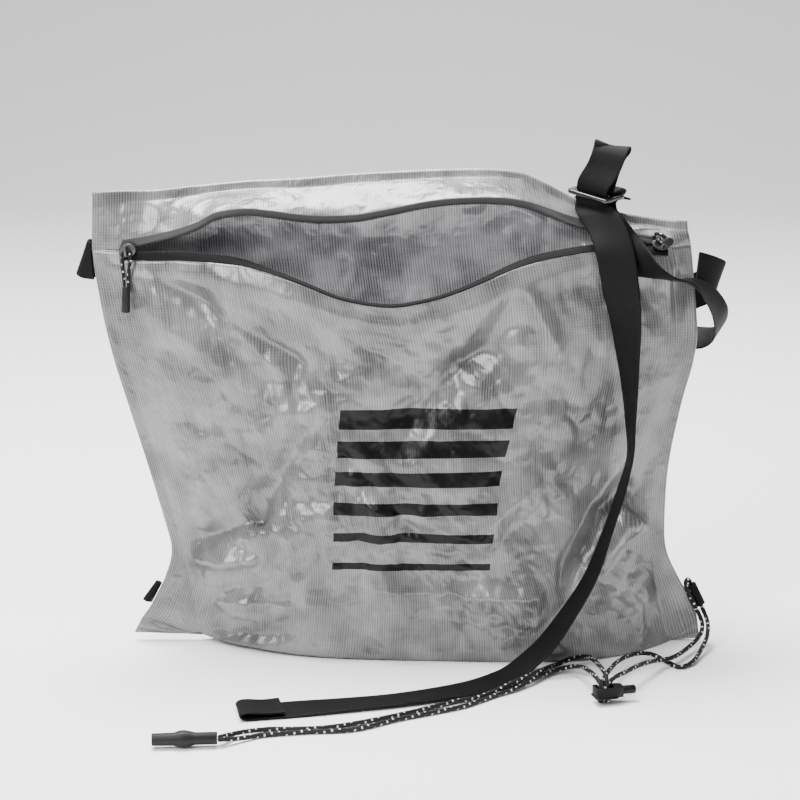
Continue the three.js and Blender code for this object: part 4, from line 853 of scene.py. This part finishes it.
# Straps
# Black woven webbing, 25 mm wide. The long strap leaves the right seam, loops beside the bag, passes the
# slide and falls in front to its folded end. The short one runs from the left seam, behind the bag, to the
# slide.
WEBBING_WIDTH = 0.025
WEBBING_THICKNESS = 0.0015
WEBBING_REST = 0.00005
WEBBING_SQUARENESS = 0.6
WEBBING_STEPS = 14

LONG_STRAP = Table(
    "across forward height wx wy wz",
    [
        (0.4765, 0, 0.797, 0.1, 0, 1),
        (0.5, -0.08, 0.786, 0.22, 0.05, 0.97),
        (0.517, -0.24, 0.772, 0.3, 0.05, 0.95),
        (0.51, -0.42, 0.758, 0.34, 0.05, 0.94),
        (0.475, -0.54, 0.736, 0.4, 0, 0.92),
        (0.42, -0.58, 0.694, 0.55, 0, 0.83),
        (0.37, -0.6, 0.619, 0.8, 0, 0.6),
        (0.34, -0.62, 0.525, 0.95, 0, 0.3),
        (0.33, -0.66, 0.444, 1, 0, 0.05),
        (0.331, -0.76, 0.409, 1, 0, 0),
        (0.334, -0.88, 0.431, 1, 0, 0),
        (0.345, -0.88, 0.494, 0.98, 0, -0.15),
        (0.38, -0.84, 0.569, 0.85, 0, -0.5),
        (0.435, -0.76, 0.62, 0.3, -0.55, -0.78),
        (0.48, -0.62, 0.636, -0.05, -0.9, -0.42),
        (0.506, -0.4, 0.645, -0.3, -0.9, -0.32),
        (0.518, -0.2, 0.664, -0.42, -0.84, -0.34),
        (0.518, 0, 0.696, -0.43, -0.82, -0.38),
        (0.503, 0.22, 0.735, -0.3, -0.9, -0.3),
        (0.477, 0.5, 0.769, -0.15, -0.97, -0.16),
        (0.45, 0.7, 0.79, -0.03, -0.98, 0.12),
        (0.422, 0.78, 0.8, 0.06, -0.975, 0.2),
        (0.392, 0.76, 0.815, 0.4, -0.86, 0.33),
        (0.364, 0.66, 0.836, 0.8, -0.52, 0.3),
        (0.341, 0.56, 0.867, 0.96, -0.22, 0.15),
        (0.323, 0.42, 0.902, 0.82, -0.56, 0),
        (0.311, 0.29, 0.924, 0.74, -0.64, -0.18),
        (0.31018, 0.08834, 0.9472, 0.71881, -0.67888, -0.14975),
        (0.31146, 0.09504, 0.95965, 0.71881, -0.67888, -0.14975),
        (0.31199, 0.11234, 0.97502, 0.71881, -0.67888, -0.14975),
        (0.3215, 0.08, 1.018, 0.78, -0.61, -0.08),
        (0.3285, 0.11, 1.045, 0.8, -0.59, -0.08),
        (0.3315, 0.17, 1.055, 0.8, -0.59, -0.08),
        (0.3265, 0.23, 1.043, 0.8, -0.59, -0.08),
        (0.316, 0.235, 1.012, 0.78, -0.61, -0.08),
        (0.29934, 0.2207, 0.97589, 0.71881, -0.67888, -0.14975),
        (0.29871, 0.19994, 0.95744, 0.71881, -0.67888, -0.14975),
        (0.29819, 0.18264, 0.94206, 0.71881, -0.67888, -0.14975),
        (0.308, 0.37, 0.918, 0.8, -0.58, -0.1),
        (0.322, 0.52, 0.892, 0.88, -0.45, -0.1),
        (0.333, 0.67, 0.848, 0.95, -0.25, -0.12),
        (0.343, 0.72, 0.775, 0.9, -0.4, -0.12),
        (0.3515, 0.74, 0.707, 0.72, -0.68, -0.08),
        (0.356, 0.77, 0.637, 0.5, -0.86, -0.05),
        (0.36, 0.78, 0.568, 0.3, -0.95, 0),
        (0.362, 0.8, 0.504, 0.15, -0.97, 0.16),
        (0.3625, 0.83, 0.436, 0.05, -0.97, 0.22),
        (0.35, 0.87, 0.37, 0.12, -0.96, 0.24),
        (0.326, 0.97, 0.28, 0.17, -0.95, 0.26),
        (0.298, 1.1, 0.191, 0.28, -0.93, 0.24),
        (0.257, 1.25, 0.112, 0.38, -0.9, 0.18),
        (0.2225, 1.36, 0.058, 0.42, -0.89, 0.1),
        (0.18, 1.52, 0.018, 0.52, -0.83, 0.09),
        (0.152, 1.74, 0.006, 0.58, -0.81, -0.06),
        (0.11, 1.99, 0.005, 0.45, -0.88, 0),
        (0.06, 2.19, 0.005, 0.36, -0.93, 0.05),
        (-0.012, 2.43, 0.005, 0.3, -0.95, 0.07),
        (-0.09, 2.61, 0.005, 0.26, -0.96, 0.04),
        (-0.172, 2.78, 0.005, 0.2, -0.98, -0.03),
        (-0.225, 2.87, 0.004, 0.18, -0.98, -0.03),
        (-0.258, 2.92, 0.005, 0.17, -0.98, 0),
        (-0.2625, 2.925, 0.011, 0.17, -0.98, 0),
        (-0.256, 2.91, 0.0165, 0.17, -0.98, 0),
        (-0.222, 2.85, 0.0135, 0.18, -0.98, 0),
        (-0.196, 2.8, 0.0135, 0.19, -0.98, -0.02),
    ],
)

SHORT_STRAP = Table(
    "across forward height wx wy wz",
    [
        (-0.519, 0, 0.817, -0.08, 0, 1),
        (-0.532, -0.05, 0.819, 0.2, 0, 0.98),
        (-0.536, -0.16, 0.822, 0.36, 0, 0.93),
        (-0.523, -0.3, 0.816, 0.34, 0, 0.94),
        (-0.485, -0.42, 0.798, 0.32, 0, 0.95),
        (-0.41, -0.52, 0.748, 0.42, 0, 0.9),
        (-0.312, -0.64, 0.695, 0.34, 0, 0.94),
        (-0.2, -0.73, 0.664, 0.15, 0, 0.99),
        (-0.075, -0.77, 0.655, 0, 0, 1),
        (0.05, -0.78, 0.672, -0.2, 0, 0.98),
        (0.155, -0.75, 0.725, -0.45, 0, 0.9),
        (0.235, -0.69, 0.806, -0.7, 0, 0.7),
        (0.29, -0.6, 0.89, -0.86, 0.2, 0.45),
        (0.32, -0.4, 0.95, -0.85, 0.45, 0.25),
        (0.3287, -0.03355, 0.97195, -0.71881, 0.67888, 0.14975),
        (0.32258, 0.01502, 0.96967, -0.71881, 0.67888, 0.14975),
        (0.31842, 0.04927, 0.96895, -0.71881, 0.67888, 0.14975),
        (0.31513, 0.0729, 0.96594, -0.71881, 0.67888, 0.14975),
        (0.31459, 0.06936, 0.96019, -0.71881, 0.67888, 0.14975),
        (0.31509, 0.05725, 0.95462, -0.71881, 0.67888, 0.14975),
        (0.31787, 0.03093, 0.95265, -0.71881, 0.67888, 0.14975),
        (0.32203, -0.00332, 0.95337, -0.71881, 0.67888, 0.14975),
        (0.33064, -0.07676, 0.95303, -0.71881, 0.67888, 0.14975),
        (0.34259, -0.18323, 0.94929, -0.71881, 0.67888, 0.14975),
    ],
)


def spline(points, count):
    points = [np.array(p, dtype=float) for p in points]
    points = [2 * points[0] - points[1]] + points + [2 * points[-1] - points[-2]]
    dense = []
    for i in range(1, len(points) - 2):
        p0, p1, p2, p3 = points[i - 1 : i + 3]
        d0, d1, d2 = (max(np.linalg.norm(b - a), 1e-9) ** 0.5 for a, b in ((p0, p1), (p1, p2), (p2, p3)))
        t1 = ((p1 - p0) / d0 - (p2 - p0) / (d0 + d1) + (p2 - p1) / d1) * d1
        t2 = ((p2 - p1) / d1 - (p3 - p1) / (d1 + d2) + (p3 - p2) / d2) * d1
        for t in np.linspace(0, 1, count, endpoint=False):
            dense.append(
                p1 + t1 * t + (3 * p2 - 3 * p1 - 2 * t1 - t2) * t**2 + (2 * p1 - 2 * p2 + t1 + t2) * t**3
            )
    dense.append(points[-2])
    return np.array(dense)


def webbing_material():
    shader = Shader("webbing_black")
    u, v = shader.uv()
    ribs = (v * 4.2).math("SINE") * 0.5 + 0.5
    rows = (u * 6.3).math("SINE") * 0.5 + 0.5
    wear = shader.noise(shader.vector(u * 0.3, v * 0.1), 1.0, 3.0)
    shader.set("Base Color", shader.colour(wear * 0.8 + rows * 0.2, grey(0.0012), grey(0.004)))
    shader.set("Roughness", 0.60)
    shader.set("Specular IOR Level", 0.12)
    shader.set("Normal", shader.bump(ribs * 0.5 + rows * 0.5, 0.00010, 0.6))
    return shader.material


webbing_black = webbing_material()


def webbing(name, table, node):
    c = table.columns
    places = [c["across"] * BAG_WIDTH, -c["forward"] * FRONT_DEPTH, c["height"] * BAG_HEIGHT]
    path = spline(np.stack(places, axis=1), WEBBING_STEPS)
    position = np.linspace(0, table.last, len(path))
    tangent = np.gradient(path, axis=0)
    tangent /= np.linalg.norm(tangent, axis=1, keepdims=True)
    width = np.stack([table.at(n, position) for n in ("wx", "wy", "wz")], axis=1)
    width /= np.linalg.norm(width, axis=1, keepdims=True)
    squared = width - WEBBING_SQUARENESS * np.sum(width * tangent, axis=1, keepdims=True) * tangent
    squared[0] = width[0]
    width = squared / np.linalg.norm(squared, axis=1, keepdims=True)
    normal = np.cross(tangent, width)
    normal /= np.linalg.norm(normal, axis=1, keepdims=True)
    reach = np.abs(width[:, 2]) * WEBBING_WIDTH / 2 + np.abs(normal[:, 2]) * WEBBING_THICKNESS / 2
    path[:, 2] = np.maximum(path[:, 2], reach + WEBBING_REST)
    shares = np.array([-0.5, -0.49, -0.45, -0.3, -0.1, 0.1, 0.3, 0.45, 0.49, 0.5])
    swell = np.array([0.35, 0.75, 1, 1, 1, 1, 1, 1, 0.75, 0.35]) * WEBBING_THICKNESS / 2
    loop_shares = np.concatenate([shares, shares[::-1]])
    loop_swell = np.concatenate([swell, -swell[::-1]])
    points = (
        path[:, None]
        + width[:, None] * (loop_shares * WEBBING_WIDTH)[None, :, None]
        + normal[:, None] * loop_swell[None, :, None]
    )
    ends = [np.repeat(path[i][None, None], len(loop_shares), axis=1) for i in (0, -1)]
    points = np.concatenate([ends[0], points, ends[1]])
    length = run_lengths(path) * 1000
    length = np.concatenate([[0], length, [length[-1]]])
    layout = np.stack(np.meshgrid(loop_shares * WEBBING_WIDTH * 1000, length), axis=-1)
    obj = mesh_from_grid(name, points, layout, closed=True)
    weld(obj, 1e-7)
    obj.data.set_sharp_from_angle(angle=math.radians(50))
    return dress(obj, [webbing_black], node)


webbing("strap_long_webbing", LONG_STRAP, "strap_long")
webbing("strap_short_webbing", SHORT_STRAP, "strap_short")

# Slide
# A three-bar slide of glossy black plastic holds both straps at the bag's right shoulder.
# Its solid has its edges rounded.
cad_mesh("strap_slide", plain("gloss_black", 0.003, 0.22, 0.6), "strap_adjuster", 0.0006)

# Corner tabs
# Two short loops of folded black webbing, caught in the side seams near the bottom corners.
# The right one carries the elastic cord.
cad_mesh("corner_tab_left_webbing", webbing_black, "corner_tab_left", 0.0002)
cad_mesh("corner_tab_right_webbing", webbing_black, "corner_tab_right", 0.0002)

# Cords
# Black braided elastic with pale flecks, 3 mm thick, runs doubled from the right corner tab through its lock
# to the end sleeve. The zip pulls are loops of a thinner cord of the same kind.
CORD_DIAMETER = 0.003
PULL_CORD_DIAMETER = 0.0022
CORD_STEP = 0.0016
CORD_STEPS = 12
CORD_SIDES = 12
FLECK_PITCH = 4.6

CORDS = {
    "cord_turn": [
        (0.2001, 0, 0.024), (0.1977, 0, 0.0289), (0.1942, 0, 0.0361),
        (0.1925, 0, 0.0397), (0.1912, -0.0007, 0.0426), (0.1895, -0.0024, 0.0438),
        (0.1884, -0.0036, 0.0418), (0.1892, -0.0038, 0.0381), (0.1926, -0.0037, 0.0309),
        (0.1961, -0.0036, 0.0238),
    ],
    "cord_tab_a": [
        (0.2004, 0, 0.0234), (0.2018, -0.0012, 0.0204), (0.2032, -0.005, 0.0168),
        (0.2034, -0.011, 0.0132), (0.2017, -0.02, 0.0094), (0.196, -0.034, 0.0046),
        (0.1866, -0.055, 0.0024), (0.1787, -0.061, 0.0018), (0.1728, -0.0531, 0.0018),
        (0.1681, -0.0463, 0.0025), (0.1627, -0.044, 0.0045), (0.1565, -0.0454, 0.006),
        (0.1496, -0.0534, 0.008), (0.1418, -0.0657, 0.01), (0.1342, -0.082, 0.0116),
        (0.129, -0.098, 0.0128), (0.1252, -0.111, 0.0136), (0.1236, -0.1176, 0.0139),
    ],
    "cord_tab_b": [
        (0.1964, -0.0036, 0.0232), (0.1983, -0.0054, 0.0192), (0.1998, -0.0086, 0.0146),
        (0.1983, -0.015, 0.0099), (0.1916, -0.026, 0.0064), (0.1832, -0.04, 0.0054),
        (0.1746, -0.054, 0.006), (0.1673, -0.0603, 0.0066), (0.1608, -0.0685, 0.0085),
        (0.1542, -0.0782, 0.0105), (0.1477, -0.0885, 0.012), (0.142, -0.0993, 0.0134),
        (0.1352, -0.1109, 0.0146), (0.1302, -0.1178, 0.0148),
    ],
    "cord_bight_a": [
        (0.1187, -0.118, 0.0148), (0.1194, -0.1234, 0.015), (0.1202, -0.1266, 0.014),
        (0.1204, -0.1274, 0.0116), (0.1204, -0.1274, 0.0078), (0.1204, -0.1274, 0.0044),
        (0.1207, -0.1268, 0.0025), (0.12135, -0.1254, 0.0017), (0.122, -0.124, 0.0025),
        (0.1223, -0.1234, 0.0044), (0.1223, -0.1234, 0.0078), (0.1223, -0.1234, 0.0117),
        (0.1225, -0.1224, 0.0134), (0.1235, -0.1181, 0.0139),
    ],
    "cord_bight_b": [
        (0.1239, -0.116, 0.0177), (0.1242, -0.1216, 0.0176), (0.1245, -0.1252, 0.0158),
        (0.1246, -0.1263, 0.012), (0.1246, -0.1263, 0.0078), (0.1246, -0.1263, 0.0044),
        (0.1249, -0.1257, 0.0025), (0.12555, -0.12425, 0.0017), (0.1262, -0.1228, 0.0025),
        (0.1265, -0.1222, 0.0044), (0.1265, -0.1222, 0.0078), (0.1265, -0.1222, 0.0116),
        (0.1272, -0.1213, 0.0134), (0.1299, -0.1183, 0.0147),
    ],
    "cord_tail_a": [
        (0.1186, -0.1174, 0.0147), (0.1163, -0.101, 0.0128), (0.112, -0.083, 0.0096),
        (0.106, -0.0726, 0.006), (0.0976, -0.071, 0.0034), (0.0896, -0.0786, 0.0032),
        (0.083, -0.0875, 0.0036), (0.069, -0.1038, 0.0024), (0.057, -0.1135, 0.0019),
        (0.046, -0.124, 0.0018), (0.035, -0.1343, 0.0018), (0.0136, -0.1466, 0.0018),
        (-0.0068, -0.1576, 0.0018), (-0.0335, -0.175, 0.0018), (-0.0597, -0.1786, 0.0018),
        (-0.0712, -0.1806, 0.0018), (-0.0882, -0.1846, 0.0018), (-0.1021, -0.1934, 0.003),
        (-0.1128, -0.2007, 0.0052),
    ],
    "cord_tail_b": [
        (0.1239, -0.1154, 0.0176), (0.1228, -0.098, 0.0152), (0.1206, -0.076, 0.0118),
        (0.1162, -0.06, 0.0088), (0.1074, -0.0546, 0.005), (0.0986, -0.0586, 0.003),
        (0.091, -0.07, 0.0044), (0.084, -0.084, 0.0064), (0.0708, -0.0974, 0.0056),
        (0.058, -0.1085, 0.0036), (0.047, -0.1173, 0.0022), (0.0277, -0.1274, 0.0018),
        (0.003, -0.1444, 0.0018), (-0.0265, -0.1617, 0.0018), (-0.0499, -0.1716, 0.0018),
        (-0.0669, -0.174, 0.0018), (-0.0852, -0.1746, 0.0018), (-0.1016, -0.184, 0.0032),
        (-0.1128, -0.197, 0.0052),
    ],
    "pull_cord_left": [
        (-0.1854, -0.0106, 0.2463), (-0.186, -0.0106, 0.256), (-0.1864, -0.0103, 0.264),
        (-0.1862, -0.0099, 0.2678), (-0.1838, -0.0098, 0.2697), (-0.1814, -0.0097, 0.2678),
        (-0.1812, -0.01, 0.264), (-0.1822, -0.0105, 0.256), (-0.1828, -0.0106, 0.2463),
    ],
    "pull_cord_right": [
        (0.1681, -0.0177, 0.2786), (0.1644, -0.0172, 0.2812), (0.161, -0.0156, 0.2818),
        (0.16, -0.0134, 0.279), (0.1614, -0.0124, 0.2764), (0.1642, -0.0122, 0.2757),
        (0.1676, -0.0126, 0.2759), (0.1702, -0.0144, 0.2764), (0.1706, -0.017, 0.2766),
        (0.1696, -0.0182, 0.2764),
    ],
}


def cord_material():
    shader = Shader("cord_flecked")
    u, v = shader.uv()
    turn = v / FLECK_PITCH
    ring = turn.math("FLOOR")
    around = (u * 2.0 - ring * 0.76).math("FRACT") - 0.5
    fleck = (around.math("ABSOLUTE") < 0.17) * (turn.math("FRACT") < 0.24)
    braid = ((u * 31.4 + v * 2.4).math("SINE") * (u * 31.4 - v * 2.4).math("SINE")) * 0.5 + 0.5
    shader.set("Base Color", shader.colour(fleck, grey(0.005), grey(0.60)))
    shader.set("Roughness", 0.6)
    shader.set("Specular IOR Level", 0.25)
    shader.set("Normal", shader.bump(braid, 0.0003, 0.8))
    return shader.material


cord_flecked = cord_material()
for node, points in CORDS.items():
    diameter = PULL_CORD_DIAMETER if node.startswith("pull") else CORD_DIAMETER
    path, places = evenly(spline(points, CORD_STEPS), CORD_STEP)
    made = tube(node + "_braid", path, diameter / 2, CORD_SIDES, places)
    dress(made, [cord_flecked], node)

# Cord lock and sleeves
# The sprung lock has a matt black barrel and a button that slides into it; soft grey rubber sleeves close the
# cord's far end and both zip pulls.
matte_black = plain("matte_black", 0.004, 0.45)
rubber_grey = plain("rubber_grey", 0.010, 0.5, relief=(900.0, 0.0002))
lock_body = cad_mesh("cord_lock_barrel", matte_black, "cord_lock_body", 0.0005)
lock_button = cad_mesh("cord_lock_push", matte_black, "cord_lock_button", 0.0005)
end_sleeve = cad_mesh("cord_end_rubber", rubber_grey, "cord_end_sleeve", 0.0004)
pull_left = cad_mesh("pull_sleeve_left_rubber", rubber_grey, "pull_sleeve_left", 0.0005)
pull_right = cad_mesh("pull_sleeve_right_rubber", rubber_grey, "pull_sleeve_right", 0.0005)


# Camera
# It looks at the middle of the bag from the front, a little from above,
# through a long lens.
VIEW_TARGET = Vector((-0.005, 0.0, 0.1677))
VIEW_DISTANCE = 1.5
VIEW_ELEVATION = math.radians(12.5)
LENS = 101.25
SENSOR_WIDTH = 36.0
camera = bpy.data.objects.new("camera", bpy.data.cameras.new("camera"))
camera.data.lens = LENS
camera.data.sensor_width = SENSOR_WIDTH
bpy.context.scene.collection.objects.link(camera)
camera_offset = Vector((0.0, -math.cos(VIEW_ELEVATION), math.sin(VIEW_ELEVATION)))
camera.location = VIEW_TARGET + VIEW_DISTANCE * camera_offset
camera.rotation_euler = (math.pi / 2 - VIEW_ELEVATION, 0.0, 0.0)
bpy.context.scene.camera = camera

# Setting
# A sweep of pale paper: a floor that curves up into a backdrop, lit softly from above and from the front
# left, with a small light into the bag's mouth.
SWEEP_HALF = 4.0
SWEEP_FRONT = -2.5
SWEEP_BACK = 2.2
SWEEP_RADIUS = 1.4
SWEEP_TOP = 3.5
SWEEP_STEPS = 12
PAPER = 0.95
SKY = 0.38
profile = [(SWEEP_FRONT, 0.0), (SWEEP_BACK, 0.0)]
for step in range(1, SWEEP_STEPS + 1):
    angle = math.pi / 2 * step / SWEEP_STEPS
    profile.append((SWEEP_BACK + SWEEP_RADIUS * math.sin(angle), SWEEP_RADIUS * (1 - math.cos(angle))))
profile.append((SWEEP_BACK + SWEEP_RADIUS, SWEEP_TOP))
built = bmesh.new()
rows = [[built.verts.new((x, y, z)) for x in (-SWEEP_HALF, SWEEP_HALF)] for y, z in profile]
for near, far in zip(rows, rows[1:]):
    built.faces.new((near[0], near[1], far[1], far[0]))
sweep = shape("sweep", built)
sweep_paper = Shader("sweep_paper")
sweep_paper.set("Base Color", grey(PAPER))
sweep_paper.set("Roughness", 0.9)
sweep.data.materials.append(sweep_paper.material)

world = bpy.data.worlds.new("studio")
world.use_nodes = True
world.node_tree.nodes["Background"].inputs[0].default_value = grey(1.0)
world.node_tree.nodes["Background"].inputs[1].default_value = SKY
bpy.context.scene.world = world

LIGHTS = [
    ("above", (-0.35, 0.35, 1.9), (0.0, 0.0, 0.1), (1.5, 0.9), 135.0),
    ("front", (-1.3, -1.5, 1.5), (0.0, 0.0, 0.15), (1.0, 1.0), 56.0),
    ("right", (1.9, -0.6, 1.0), (0.0, 0.0, 0.15), (0.5, 1.0), 3.0),
    ("mouth", (0.10, -0.30, 0.85), (0.06, 0.02, 0.26), (0.15, 0.15), 1.8),
]
for name, place, aim, size, power in LIGHTS:
    light = bpy.data.lights.new(name, "AREA")
    light.shape = "RECTANGLE"
    light.size, light.size_y = size
    light.energy = power
    lamp = bpy.data.objects.new(name, light)
    lamp.location = place
    lamp.rotation_euler = (Vector(aim) - Vector(place)).to_track_quat("-Z", "Y").to_euler()
    bpy.context.scene.collection.objects.link(lamp)
